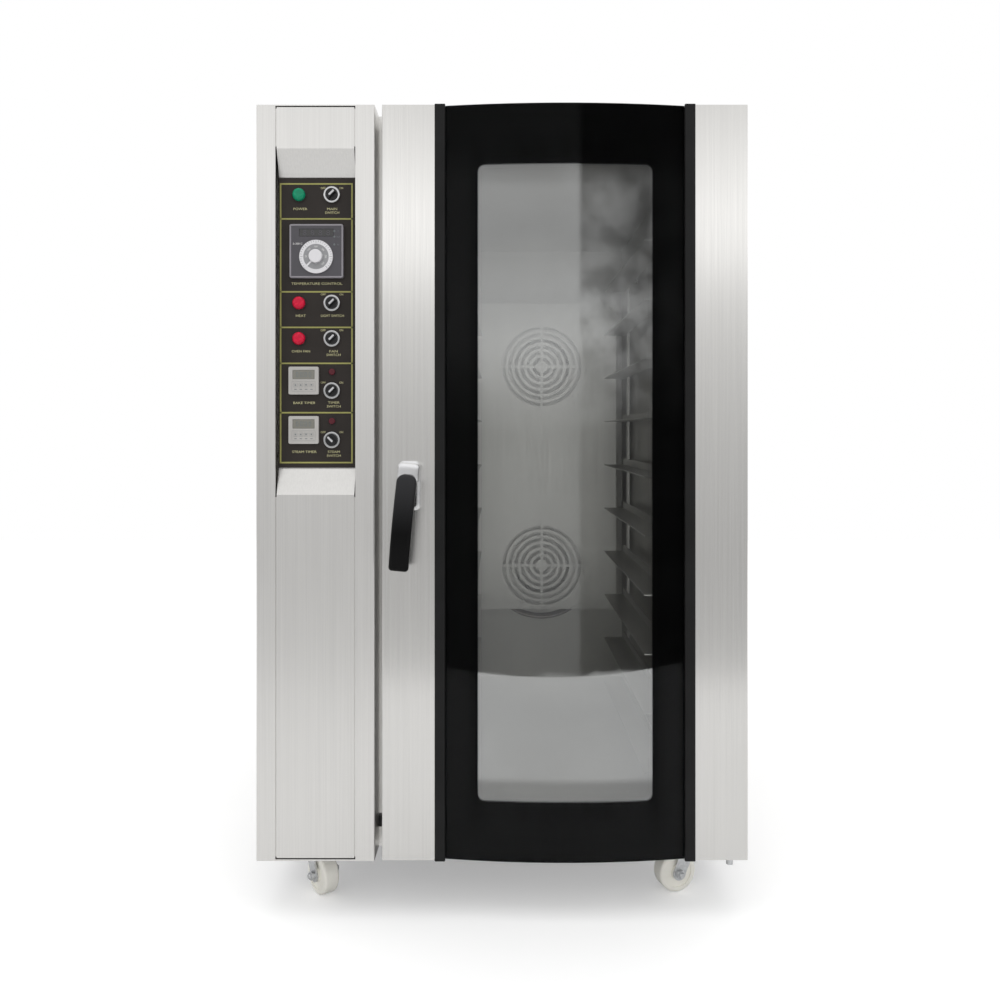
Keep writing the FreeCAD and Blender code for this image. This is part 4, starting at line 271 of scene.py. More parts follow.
class Finish(Nodes):
    """One material around its main shader."""

    def __init__(self, name, **values):
        self.material = bpy.data.materials.new(name)
        self.material.use_nodes = True
        super().__init__(self.material.node_tree)
        self.shader = self.tree.nodes["Principled BSDF"]
        for key, value in values.items():
            socket = key.replace("_", " ").title().replace("Ior", "IOR")
            self.shader.inputs[socket].default_value = value
        FINISHES[name] = self.material

    def set(self, name, value):
        """Input of the main shader."""
        self.give(self.shader.inputs[name], value)

    def place(self, stretch=(1.0, 1.0, 1.0)):
        """Place on the object in metres, stretched along the axes."""
        where = self.node("ShaderNodeTexCoord").outputs["Object"]
        return self.node("ShaderNodeMapping", {"Vector": where, "Scale": stretch}).outputs["Vector"]

    def height(self):
        """Upright place on the object."""
        return self.node("ShaderNodeSeparateXYZ", {"Vector": self.place()}).outputs["Z"]

    def grain(self, scale, stretch=(1.0, 1.0, 1.0), detail=4.0):
        """Uneven tone over the surface."""
        return self.clouds(self.place(stretch), scale, detail)

    def cells(self, scale):
        """Grains with a flat tone each."""
        values = {"Vector": self.place(), "Scale": scale}
        return self.node("ShaderNodeTexVoronoi", values).outputs["Color"]

    def tint(self, factor, first, second):
        """Mix of two colours."""
        values = {"Factor": factor, "A": rgba(first), "B": rgba(second)}
        return self.node("ShaderNodeMix", values, data_type="RGBA").outputs["Result"]

    def mottle(self, factor, base, dark, pale):
        """Base colour that wanders between a darker and a paler shade."""
        tone = self.between(factor, 0.0, 1.0)
        self.set("Base Color", self.tint(tone, scaled(base, dark), scaled(base, pale)))

    def rough(self, factor, low, high):
        """Roughness that wanders between two values."""
        self.set("Roughness", self.between(factor, low, high))

    def bump(self, height, strength, distance=0.0002):
        """Small relief."""
        values = {"Height": height, "Strength": strength, "Distance": distance}
        self.set("Normal", self.node("ShaderNodeBump", values).outputs["Normal"])


def rgba(value):
    """Colour with full opacity; the output of a node stays as it is."""
    return value if isinstance(value, bpy.types.NodeSocket) else (*value[:3], 1.0)


def scaled(value, factor):
    """Colour made lighter or darker."""
    return tuple(min(1.0, part * factor) for part in value)


def drawn(axis, along, across):
    """Stretch of a grain that is drawn out along an axis."""
    return [along if side == axis else across for side in "XYZ"]


def brushed_steel(name, base, low, high, spread, stain, axis="Z"):
    """Steel with brush lines along an axis and faint patches."""
    made = Finish(name, metallic=1.0, anisotropic=spread)
    lines = made.grain(1.0, drawn(axis, 3.0, 420.0))
    hairs = made.grain(1.0, drawn(axis, 9.0, 1700.0), detail=2.0)
    patch = made.between(made.grain(2.2), 0.0, stain, 0.4, 0.75)
    tone = made.tint(made.between(lines, 0.0, 1.0), scaled(base, 0.965), scaled(base, 1.03))
    made.set("Base Color", made.tint(patch, tone, scaled(base, 0.8)))
    made.rough(hairs, low, high)
    tangent = made.node("ShaderNodeTangent", direction_type="RADIAL", axis=axis)
    made.set("Tangent", tangent.outputs["Tangent"])
    made.bump(hairs, 0.05)


def satin(name, base, roughness, scale, depth, relief=0.15, metallic=0.0, coat=0.0, gloss=0.5):
    """Moulded or painted surface with a fine grain and a little change of tone."""
    made = Finish(
        name, metallic=metallic, coat_weight=coat, coat_roughness=0.0, specular_ior_level=gloss
    )
    fine = made.grain(scale)
    made.mottle(made.grain(18.0), base, 1.0 - depth, 1.0 + depth)
    made.rough(fine, roughness - 0.06, roughness + 0.06)
    made.bump(fine, relief)


def grip_with_painted_sheen(name, base):
    """Black grip, paler towards its upper end: a painted sheen for the light that its upper end catches."""
    low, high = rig.box("handle_grip")
    made = Finish(name, specular_ior_level=0.12)
    fine = made.grain(900.0)
    # painted sheen: the base colour grows paler towards the upper end of the grip
    painted_highlight = made.between(made.height(), 0.0, 1.0, low.z + 0.4 * (high.z - low.z), high.z)
    made.set("Base Color", made.tint(painted_highlight, scaled(base, 0.1), scaled(base, 2.6)))
    made.rough(fine, 0.26, 0.38)
    made.bump(fine, 0.1)


def plated(name, base):
    """Zinc plate with a spangle of flat grains."""
    made = Finish(name, metallic=0.9)
    made.set("Base Color", made.tint(made.cells(240.0), scaled(base, 0.82), scaled(base, 1.08)))
    made.rough(made.grain(60.0), 0.3, 0.46)
    made.bump(made.grain(700.0), 0.06)


def polished(name, base, soft):
    """Chrome with a slight haze and soft edges."""
    made = Finish(name, metallic=1.0)
    haze = made.grain(45.0)
    made.mottle(haze, base, 0.93, 1.0)
    made.rough(haze, 0.05, 0.13)
    made.set("Normal", made.node("ShaderNodeBevel", {"Radius": soft}, samples=6).outputs["Normal"])


def heat_tinted(name):
    """Heater sheath with straw and blue patches."""
    made = Finish(name, metallic=0.85)
    patch = made.grain(26.0)
    warm = made.tint(made.between(patch, 0.0, 1.0), (0.16, 0.13, 0.10), (0.30, 0.24, 0.17))
    blue = made.between(made.grain(9.0), 0.0, 0.7)
    made.set("Base Color", made.tint(blue, warm, (0.13, 0.14, 0.19)))
    made.rough(patch, 0.36, 0.55)
    made.bump(made.grain(900.0), 0.1)


def fibres(name, base):
    """Matted wool with long fibres."""
    made = Finish(name, roughness=0.95)
    strand = made.grain(1.0, (140.0, 420.0, 900.0), 6.0)
    made.mottle(strand, base, 0.6, 1.15)
    made.bump(strand, 0.8, 0.002)


def lens(name, base):
    """Tinted lens with a clear coat."""
    made = Finish(name, coat_weight=0.2, coat_roughness=0.08, specular_ior_level=0.2)
    swirl = made.grain(160.0)
    made.mottle(swirl, base, 0.85, 1.1)
    made.rough(swirl, 0.18, 0.3)


def clear(name, gloss, tint, rough):
    """Clear sheet: light passes, and a share of it is mirrored."""
    made = Finish(name)
    through = made.node("ShaderNodeBsdfTransparent", {"Color": rgba(tint)})
    silver = (0.96, 0.97, 0.97, 1.0)
    mirror = made.node("ShaderNodeBsdfGlossy", {"Color": silver, "Roughness": rough})
    parts = {"Fac": gloss(made), 1: through.outputs["BSDF"], 2: mirror.outputs["BSDF"]}
    mix = made.node("ShaderNodeMixShader", parts)
    made.give(made.tree.nodes["Material Output"].inputs["Surface"], mix.outputs["Shader"])
    made.tree.nodes.remove(made.shader)


def edge_gloss(made):
    """Faint mirror that grows towards the edges."""
    return made.node("ShaderNodeFresnel", {"IOR": 1.2}).outputs["Fac"]


def window_gloss(made):
    """Faint mirror, and a stronger one where the clear window has its heat-reflecting coat; along the bottom of the
    window the mirror is weaker, as painted shade.
    """
    sizes = bpy.context.scene.oven_sizes
    centre, corner = middle_of("glass_border"), sizes.window_corner
    shift, upright = (-centre.x, 0.0, -centre.z), (1.0, 0.0, 1.0)
    flat = {"Vector": made.place(), "Location": shift, "Scale": upright}
    inner = (sizes.window_wide / 2 - corner, 0.0, sizes.window_tall / 2 - corner)
    apart = made.vectors("ABSOLUTE", made.node("ShaderNodeMapping", flat).outputs["Vector"])
    past = made.vectors("MAXIMUM", made.vectors("SUBTRACT", apart, inner))
    strip, blend, painted_shade_gloss, border, edge = 0.030, 0.012, 0.085, 0.0045, 0.0005
    # painted shade: a weaker mirror along the bottom of the window darkens a strip there
    foot = centre.z - sizes.window_tall / 2 + strip
    whole = made.between(made.grain(7.0), 0.138, 0.156)
    coat = made.between(made.height(), painted_shade_gloss, whole, foot, foot + blend)
    return made.between(made.vectors("LENGTH", past), coat, border, corner, corner + edge)


# Shapes

def add_layers(bm, rings, closed=False):
    """Skin over rings of points, one after another; open ends get a face."""
    made = [[bm.verts.new(point) for point in ring] for ring in rings]
    count = len(made[0])
    pairs = list(zip(made, made[1:]))
    if closed:
        pairs.append((made[-1], made[0]))
    for first, second in pairs:
        for number in range(count):
            after = (number + 1) % count
            bm.faces.new((first[number], first[after], second[after], second[number]))
    if not closed:
        bm.faces.new(list(reversed(made[0])))
        bm.faces.new(made[-1])


def circle(radius, sides):
    """Points of a circle about the origin."""
    angles = [2 * math.pi * number / sides for number in range(sides)]
    return [(radius * math.cos(angle), radius * math.sin(angle)) for angle in angles]


def rounded_outline(wide, tall, corner, steps=6):
    """Points of a rectangle with round corners, about the origin."""
    points = []
    for quarter in range(4):
        across = (wide / 2 - corner) * (1 if quarter in (0, 3) else -1)
        up = (tall / 2 - corner) * (1 if quarter in (0, 1) else -1)
        for step in range(steps + 1):
            angle = math.radians(90.0 * (quarter + step / steps))
            points.append((across + corner * math.cos(angle), up + corner * math.sin(angle)))
    return points


def facing(points, x, y, z):
    """Flat points stood up to face the front."""
    return [(x + across, y, z + up) for across, up in points]


def add_box(bm, low, high):
    """Box between two corners."""
    outline = ((low[0], low[2]), (high[0], low[2]), (high[0], high[2]), (low[0], high[2]))
    add_layers(bm, [facing(outline, 0.0, y, 0.0) for y in (low[1], high[1])])


def add_plate(bm, x, z, wide, tall, corner, back, front, ease):
    """Plate with round corners and an eased front rim, facing the front."""
    whole = rounded_outline(wide, tall, corner)
    inner = rounded_outline(wide - 2 * ease, tall - 2 * ease, max(corner - ease, ease / 4))
    layers = ((whole, back), (whole, front + ease), (inner, front))
    add_layers(bm, [facing(outline, x, y, z) for outline, y in layers])


def add_rim(bm, x, z, wide, tall, corner, width, back, front, ease):
    """Raised rim around a rectangle, facing the front."""
    outside = [(0.0, back), (0.0, front + ease), (ease, front)]
    inside = [(width - inset, y) for inset, y in reversed(outside)]
    rings = []
    for inset, y in outside + inside:
        outline = rounded_outline(wide - 2 * inset, tall - 2 * inset, max(corner - inset, 0.0003))
        rings.append(facing(outline, x, y, z))
    add_layers(bm, rings, closed=True)


def add_turned(bm, matrix, profile, sides, closed=False):
    """Round form from radii and heights along its own Z, put in place by a matrix."""
    rings = []
    for radius, height in profile:
        rings.append([matrix @ Vector((x, y, height)) for x, y in circle(radius, sides)])
    add_layers(bm, rings, closed)


def aimed(place, direction):
    """Matrix that puts a form's own Z along a direction."""
    turn = Vector(direction).to_track_quat("Z", "Y").to_matrix().to_4x4()
    return Matrix.Translation(Vector(place)) @ turn


def add_screw(bm, place, direction, radius):
    """Domed screw head with a socket."""
    dome = ((1.0, 0.10), (0.92, 0.28), (0.68, 0.46), (0.42, 0.53), (0.38, 0.50), (0.34, 0.12))
    profile = [(radius, -FOOT)] + [(across * radius, up * radius) for across, up in dome]
    add_turned(bm, aimed(place, direction), profile, 18)


def add_bolt(bm, place, direction, radius):
    """Hexagon bolt head with a chamfer, on a washer."""
    matrix, washer = aimed(place, direction), 1.45 * radius
    profile = [(washer, -FOOT), (washer, 0.16 * radius), (1.38 * radius, 0.22 * radius)]
    add_turned(bm, matrix, profile, 24)
    profile = [(radius, 0.2 * radius), (radius, 0.8 * radius), (0.86 * radius, 0.95 * radius)]
    add_turned(bm, matrix, profile, 6)


def add_letters(bm, text, x, z, front, proud, wide, tall, turn=0.0):
    """Letters facing the front, fitted to a width and a height and turned about their middle."""
    words = bpy.data.curves.new("letters", "FONT")
    words.body = text
    words.extrude = 0.5
    words.resolution_u = 3
    holder = bpy.data.objects.new("letters", words)
    mesh = bpy.data.meshes.new_from_object(holder)
    low = [min(vertex.co[axis] for vertex in mesh.vertices) for axis in range(2)]
    high = [max(vertex.co[axis] for vertex in mesh.vertices) for axis in range(2)]
    lift = 0.4  # leaves a tenth of their height in the plate
    lean = Matrix.Rotation(turn, 2)
    for vertex in mesh.vertices:
        across = ((vertex.co.x - low[0]) / (high[0] - low[0]) - 0.5) * wide
        up = ((vertex.co.y - low[1]) / (high[1] - low[1]) - 0.5) * tall
        side, rise = lean @ Vector((across, up))
        vertex.co = (x + side, front - (vertex.co.z + lift) * proud, z + rise)
    bm.from_mesh(mesh)
    bpy.data.objects.remove(holder)
    bpy.data.curves.remove(words)
    bpy.data.meshes.remove(mesh)


def add_louvre(bm, matrix, wide, tall, depth):
    """Pressed hood over a vent slot: along its own X, outwards along Z, its mouth down along Y."""
    sheet, lap, steps = 0.001, 0.002, 7
    rise = ((-0.003, 0.06), (0.001, 0.6), (0.006, 0.92), (0.012, 1.0))
    sections = [(along - wide / 2, share) for along, share in rise]
    sections += [(-across, share) for across, share in reversed(sections)]
    rings = []
    for across, share in sections:
        outer, inner = [], []
        for step in range(steps + 1):
            angle = math.radians(90.0 * step / steps)
            down = tall / 2 + lap - (tall + lap) * (1 - math.cos(angle))
            out = depth * share * math.sin(angle)
            outer.append(matrix @ Vector((across, down, out)))
            under = down - sheet * math.cos(angle) * 0.9
            inner.append(matrix @ Vector((across, under, max(out - sheet, -FOOT / 2))))
        rings.append(outer + list(reversed(inner)))
    add_layers(bm, rings)


def spaced(low, high, count):
    """Evenly spaced values from one end to the other."""
    return [low + (high - low) * number / (count - 1) for number in range(count)]


def walk(points, pitch):
    """Evenly spaced places along a closed outline."""
    lengths = [math.dist(first, second) for first, second in zip(points, points[1:] + points[:1])]
    whole = sum(lengths)
    count = int(whole / pitch)
    places = []
    side, passed = 0, 0.0
    for number in range(count):
        target = whole * number / count
        while passed + lengths[side] < target:
            passed += lengths[side]
            side += 1
        share = (target - passed) / lengths[side] if lengths[side] else 0.0
        first, second = points[side], points[(side + 1) % len(points)]
        places.append([start + (end - start) * share for start, end in zip(first, second)])
    return places


def middle_of(node):
    """Middle of a node's box."""
    low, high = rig.box(node)
    return (low + high) / 2


def face_depth(node, x, z, start, end):
    """Foremost depth of a node's points in a ring around an upright place."""
    depths = []
    for vertex in NODES[node].data.vertices:
        if start <= math.hypot(vertex.co.x - x, vertex.co.z - z) <= end:
            depths.append(vertex.co.y)
    return min(depths)


def glass_curve():
    """Middle, centre depth and radius of the front of the bowed glass."""
    low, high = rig.box("outer_glass")
    points = [vertex.co for vertex in NODES["outer_glass"].data.vertices]
    edge = min(point.y for point in points if point.x < low.x + 0.0001)
    half, sag = (high.x - low.x) / 2, edge - low.y
    radius = (half ** 2 + sag ** 2) / (2 * sag)
    return (low.x + high.x) / 2, low.y + radius, radius


def finish_piece(name, bm, body, slot, finish, smooth=False, turn_out=True):
    """New piece from a mesh, riding on a body with its slot and finish."""
    if turn_out:
        bmesh.ops.recalc_face_normals(bm, faces=bm.faces)
    mesh = bpy.data.meshes.new(name)
    bm.to_mesh(mesh)
    bm.free()
    mesh.materials.append(FINISHES[finish])
    piece = bpy.data.objects.new(name, mesh)
    bpy.context.scene.collection.objects.link(piece)
    if smooth:
        mesh.shade_smooth()
    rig.ride(piece, body)
    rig.slot(piece, slot)
    return piece


def dress(finish, *names):
    """Puts a finish on CAD nodes."""
    for name in names:
        for place in NODES[name].material_slots:
            place.material = FINISHES[finish]


# Pieces

class OvenOperator(bpy.types.Operator):
    """Base of the operators below"""
    bl_options = {"REGISTER", "UNDO"}


class OVEN_OT_finishes(OvenOperator):
    """Makes the finishes that all the pieces share"""
    bl_idname = "oven.finishes"
    bl_label = "Finishes"

    def execute(self, context):
        colours = context.scene.oven_colours
        self.metals(colours)
        self.plastics(colours)
        clear("outer_clear", window_gloss, (0.985, 0.99, 0.988), 0.0)
        clear("inner_clear", edge_gloss, (0.97, 0.975, 0.97), 0.02)
        clear("lamp_clear", edge_gloss, (0.93, 0.92, 0.88), 0.08)
        lens("lamp_green", colours.green)
        lens("lamp_red", colours.red)
        lens("lamp_dark_red", colours.dark_red)
        return {"FINISHED"}

    def metals(self, colours):
        """Steels, plated metals and the wool behind them."""
        column = scaled(colours.steel, 1.03)
        brushed_steel("brushed_steel", colours.steel, 0.17, 0.26, spread=0.75, stain=0.25)
        brushed_steel("column_steel", column, 0.30, 0.40, spread=0.6, stain=0.2)
        brushed_steel("top_steel", colours.steel, 0.2, 0.3, spread=0.6, stain=0.25, axis="Y")
        brushed_steel("cavity_steel", colours.cavity, 0.4, 0.54, spread=0.3, stain=0.6)
        plated("zinc_plate", colours.zinc)
        polished("chrome", scaled(colours.chrome, 0.72), 0.002)
        polished("handle_chrome", scaled(colours.chrome, 1.1), 0.011)
        satin("brass", (0.66, 0.47, 0.22), 0.3, 400.0, 0.12, 0.1, metallic=1.0)
        heat_tinted("heater_sheath")
        fibres("mineral_wool", colours.wool)

    def plastics(self, colours):
        """Paints, prints and mouldings: colour, roughness, grain, change of tone, relief."""
        satin("black_plastic", colours.black, 0.38, 1400.0, 0.2, gloss=0.35)
        satin("trim_black", colours.trim, 0.42, 1100.0, 0.15, gloss=0.15)
        grip_with_painted_sheen("grip_black", colours.black)
        satin("panel_black", colours.panel, 0.42, 1300.0, 0.12, gloss=0.2)
        satin("print_line", colours.line, 0.5, 1500.0, 0.12)
        satin("print_letters", colours.letters, 0.5, 1500.0, 0.1)
        satin("print_white", (0.78, 0.77, 0.76), 0.45, 1500.0, 0.05)
        # pale grey of the knob pointers, partly a painted highlight
        satin("pointer_and_highlight_grey", (0.56, 0.56, 0.57), 0.45, 1500.0, 0.05)
        satin("print_dark", (0.05, 0.05, 0.055), 0.5, 1500.0, 0.1)
        satin("print_dim", (0.15, 0.17, 0.175), 0.5, 1500.0, 0.1)
        satin("controller_face", (0.072, 0.068, 0.078), 0.4, 1200.0, 0.1)
        satin("controller_rim", (0.27, 0.255, 0.28), 0.35, 1200.0, 0.08)
        satin("display_dark", (0.018, 0.017, 0.018), 0.12, 300.0, 0.2, 0.02, coat=0.5)
        satin("display_grey", (0.22, 0.215, 0.185), 0.2, 400.0, 0.06, 0.02, coat=0.4)
        satin("dial_white", (0.74, 0.73, 0.75), 0.32, 1200.0, 0.05)
        satin("dial_grey", (0.29, 0.29, 0.30), 0.4, 1200.0, 0.1)
        satin("timer_grey", (0.48, 0.465, 0.445), 0.4, 1100.0, 0.06)
        satin("key_grey", (0.42, 0.41, 0.395), 0.45, 1100.0, 0.05)
        satin("grey_plastic", (0.36, 0.36, 0.37), 0.45, 1000.0, 0.1)
        satin("frame_paint", (0.23, 0.23, 0.24), 0.45, 500.0, 0.12)
        satin("motor_paint", (0.13, 0.15, 0.17), 0.4, 220.0, 0.15, 0.5)
        satin("wheel_plastic", colours.wheel, 0.42, 700.0, 0.07)
        satin("seal_rubber", (0.028, 0.027, 0.026), 0.6, 800.0, 0.25, 0.3)
        satin("border_enamel", (0.0022, 0.0022, 0.0023), 0.3, 900.0, 0.2, 0.02, gloss=0.0)


class OVEN_OT_casing(OvenOperator):
    """Casing sheets, louvre hoods over the vents and the screws of the panels"""
    bl_idname = "oven.casing"
    bl_label = "Casing"

    def execute(self, context):
        dress("brushed_steel", "left_side_panel", "right_side_panel", "rear_panel", "front_fascia")
        dress("top_steel", "top_panel")
        dress("column_steel", "column_casing", "column_cover")
        dress("frame_paint", "base_frame")
        dress("zinc_plate", "inner_partition", "latch_keeper", "door_hinges")
        self.hoods(context.scene.oven_sizes)
        self.screws(context.scene.oven_sizes.screw)
        return {"FINISHED"}

    def hoods(self, sizes):
        """Louvre hoods behind both fans and low on the left side."""
        rows, side_foot = 10, 0.15
        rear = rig.box("rear_panel")[1].y
        low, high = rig.box("left_side_panel")
        side = high.y - 2.5 * sizes.vent_long
        blocks = [((0, 0, -1, low.x), (1, 0, 0, side), low.z + side_foot)]
        for fan in ("upper_impeller", "lower_impeller"):
            centre = middle_of(fan)
            foot = centre.z - rows / 2 * sizes.vent_pitch
            blocks.append(((1, 0, 0, centre.x), (0, 0, 1, rear), foot))
        hoods = bmesh.new()
        for sideways, rearward, foot in blocks:
            for row in range(rows):
                z = foot + row * sizes.vent_pitch + sizes.vent_tall / 2
                matrix = Matrix((sideways, rearward, (0, 1, 0, z), (0, 0, 0, 1)))
                add_louvre(hoods, matrix, sizes.vent_long, sizes.vent_tall, sizes.hood)
        finish_piece("louvre_hoods", hoods, "cabinet", "casing_steel", "brushed_steel", smooth=True)

    def screws(self, radius):
        """Screws along the edges of the rear and side panels."""
        low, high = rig.box("rear_panel")
        inset, end, foot, head = 0.009, 0.05, 0.018, 0.008
        left, right = low.x + inset, high.x - inset
        places = [(x, z) for x in (left, right) for z in spaced(low.z + end, high.z - end, 8)]
        for x in spaced(left, right, 6)[1:-1]:
            places += [(x, low.z + inset), (x, high.z - inset)]
        screws = bmesh.new()
        for x, z in places:
            add_screw(screws, (x, high.y, z), TO_REAR, radius)
        for panel, side in (("left_side_panel", -1), ("right_side_panel", 1)):
            low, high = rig.box(panel)
            x = low.x if side < 0 else high.x
            for y in spaced(low.y + end, high.y - end, 6):
                for z in (low.z + foot, high.z - head):
                    add_screw(screws, (x, y, z), (side, 0, 0), radius)
        finish_piece("panel_screws", screws, "cabinet", "zinc_plate", "zinc_plate", smooth=True)


class OVEN_OT_cavity(OvenOperator):
    """Baking cavity with baffle, fans, heaters, racks and lamp"""
    bl_idname = "oven.cavity"
    bl_label = "Cavity"

    def execute(self, context):
        dress("cavity_steel", "cavity_liner", "fan_baffle", "tray_racks", "upper_impeller")
        dress("cavity_steel", "lower_impeller", "inner_glass_frame", "exhaust_flue")
        dress("heater_sheath", "heating_elements")
        dress("motor_paint", "fan_motors")
        dress("lamp_clear", "cavity_lamp")
        dress("grey_plastic", "switchgear")
        low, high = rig.box("fan_baffle")
        inset, bolt, nut, hub = 0.012, 0.0045, 0.006, 0.012
        bolts = bmesh.new()
        for x in (low.x + inset, high.x - inset):
            for z in (low.z + inset, high.z - inset):
                add_bolt(bolts, (x, low.y, z), TO_FRONT, bolt)
        finish_piece("cavity_bolts", bolts, "cabinet", "cavity_steel", "cavity_steel")
        for fan in ("upper", "lower"):
            impeller = fan + "_impeller"
            centre = middle_of(impeller)
            face = face_depth(impeller, centre.x, centre.z, 0.0, hub)
            nuts = bmesh.new()
            add_bolt(nuts, (centre.x, face, centre.z), TO_FRONT, nut)
            finish_piece(fan + "_hub_nut", nuts, fan + "_fan", "cavity_steel", "cavity_steel")
        return {"FINISHED"}


class OVEN_OT_insulation(OvenOperator):
    """Tufted wool slabs in place of the plain ones"""
    bl_idname = "oven.insulation"
    bl_label = "Insulation"

    def execute(self, context):
        step = context.scene.oven_sizes.wool_step
        sunk, swell, coarse, fine = 0.0016, 0.0011, 22.0, 61.0
        wool = bmesh.new()
        wool.from_mesh(NODES["insulation"].data)
        bmesh.ops.remove_doubles(wool, verts=wool.verts, dist=0.00002)
        low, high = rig.box("insulation")
        for axis in range(3):
            count = int((high[axis] - low[axis]) / step)
            normal = Vector((0, 0, 0))
            normal[axis] = 1
            for cut in spaced(low[axis], high[axis], count + 1)[1:-1]:
                place = Vector(low)
                place[axis] = cut
                geometry = wool.verts[:] + wool.edges[:] + wool.faces[:]
                bmesh.ops.bisect_plane(wool, geom=geometry, plane_co=place, plane_no=normal)
        wool.normal_update()
        moves = []
        for vertex in wool.verts:
            tuft = noise.noise(vertex.co * coarse) + 0.5 * noise.noise(vertex.co * fine)
            moves.append(vertex.normal * -(sunk + swell * tuft))
        for vertex, move in zip(wool.verts, moves):
            vertex.co += move
        slabs = finish_piece(
            "wool_slabs", wool, "cabinet", "mineral_wool", "mineral_wool", turn_out=False
        )
        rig.replaces(slabs, "insulation")
        return {"FINISHED"}


class OVEN_OT_door(OvenOperator):
    """Door sheets, glass, border and the dots along the window"""
    bl_idname = "oven.door"
    bl_label = "Door"

    def execute(self, context):
        dress("brushed_steel", "door_pan", "door_stiles")
        dress("trim_black", "glass_trims")
        dress("outer_clear", "outer_glass")
        dress("border_enamel", "glass_border")
        dress("inner_clear", "inner_glass")
        dress("brass", "hinge_bushes")
        dress("black_plastic", "door_switch")
        dress("grey_plastic", "switch_plunger")
        self.dots(context.scene.oven_sizes)
        low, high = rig.box("inner_glass_frame")
        inset, end, radius = 0.007, 0.06, 0.003
        screws = bmesh.new()
        for x in (low.x + inset, high.x - inset):
            for z in spaced(low.z + end, high.z - end, 6):
                add_screw(screws, (x, low.y, z), TO_FRONT, radius)
        finish_piece("glass_frame_screws", screws, "door", "zinc_plate", "zinc_plate", smooth=True)
        return {"FINISHED"}

    def dots(self, sizes):
        """Rows of shrinking dots inside the edge of the window, on the back of the glass."""
        border = middle_of("glass_border")
        middle, centre, radius = glass_curve()
        back = radius - 0.0051  # a hair behind the glass, which is 5 mm thick
        first_row, sharpest = 0.42, 0.001
        dots = bmesh.new()
        for row, share in enumerate((1.0, 0.72, 0.45)):
            inset = 2 * sizes.dot_pitch * (row + first_row)
            corner = max(sizes.window_corner - inset / 2, sharpest)
            outline = rounded_outline(sizes.window_wide - inset, sizes.window_tall - inset, corner)
            dot = circle(sizes.dot * share, 8)
            for across, up in walk(outline, sizes.dot_pitch):
                x, z = border.x + across, border.z + up
                y = centre - math.sqrt(back ** 2 - (x - middle) ** 2)
                add_layers(dots, [facing(dot, x, y + depth, z) for depth in (0.0003, 0.0001)])
        finish_piece("window_dots", dots, "door", "border_enamel", "border_enamel")


class OVEN_OT_door_seal(OvenOperator):
    """Hollow bulb seal on a foot in place of the plain ring"""
    bl_idname = "oven.door_seal"
    bl_label = "Door Seal"

    def execute(self, context):
        low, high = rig.box("door_seal")
        foot, corner = 0.012, 0.024
        size, centre = high - low, (low + high) / 2
        half = [
            (-0.5, 0.0), (-0.5, 0.17), (-0.29, 0.22), (-0.33, 0.45), (-0.27, 0.74), (-0.14, 0.94),
        ]
        section = half + [(0.0, 1.0)] + [(-across, up) for across, up in reversed(half)]
        rings = []
        for across, up in section:
            inset = foot / 2 - across * foot
            outline = rounded_outline(size.x - 2 * inset, size.z - 2 * inset, corner - inset, 10)
            rings.append(facing(outline, centre.x, low.y + up * size.y, centre.z))
        seal = bmesh.new()
        add_layers(seal, rings, closed=True)
        bulb = finish_piece("bulb_seal", seal, "door", "seal_rubber", "seal_rubber", smooth=True)
        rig.replaces(bulb, "door_seal")
        return {"FINISHED"}


class OVEN_OT_handle(OvenOperator):
    """Chrome lever and base with the black grip"""
    bl_idname = "oven.handle"
    bl_label = "Handle"

    def execute(self, context):
        dress("handle_chrome", "handle_base", "handle_lever")
        dress("grip_black", "handle_grip")
        low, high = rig.box("handle_base")
        above, radius = 0.014, 0.0038
        screw = bmesh.new()
        add_screw(screw, ((low.x + high.x) / 2, low.y, low.z + above), TO_FRONT, radius)
        finish_piece("handle_screw", screw, "door", "chrome_ring", "chrome", smooth=True)
        return {"FINISHED"}


# Words of the control plate: offset from its middle, distance below its top, width
PANEL_WORDS = (
    ("POWER", -0.0295, 0.0545, 0.0250),
    ("MAIN", 0.0280, 0.0545, 0.0180),
    ("SWITCH", 0.0280, 0.0612, 0.0255),
    ("TEMPERATURE CONTROL", 0.0004, 0.1895, 0.0920),
    ("HEAT", -0.0285, 0.2475, 0.0180),
    ("LIGHT SWITCH", 0.0285, 0.2475, 0.0415),
    ("OVEN FAN", -0.0285, 0.3118, 0.0330),
    ("FAN", 0.0305, 0.3118, 0.0150),
    ("SWITCH", 0.0305, 0.3183, 0.0255),
    ("BAKE TIMER", -0.0222, 0.4050, 0.0400),
    ("TIMER", 0.0310, 0.4045, 0.0210),
    ("SWITCH", 0.0310, 0.4113, 0.0250),
    ("STEAM TIMER", -0.0222, 0.4935, 0.0440),
    ("STEAM", 0.0310, 0.4935, 0.0215),
    ("SWITCH", 0.0310, 0.5005, 0.0250),
)
# Lines, and words beside the switches: distance below the top of the plate
LINE_ROWS = (0.0113, 0.0745, 0.2063, 0.2706, 0.3356, 0.4248, 0.5150)
SWITCH_ROWS = (0.0188, 0.2110, 0.2758, 0.3705, 0.4600)


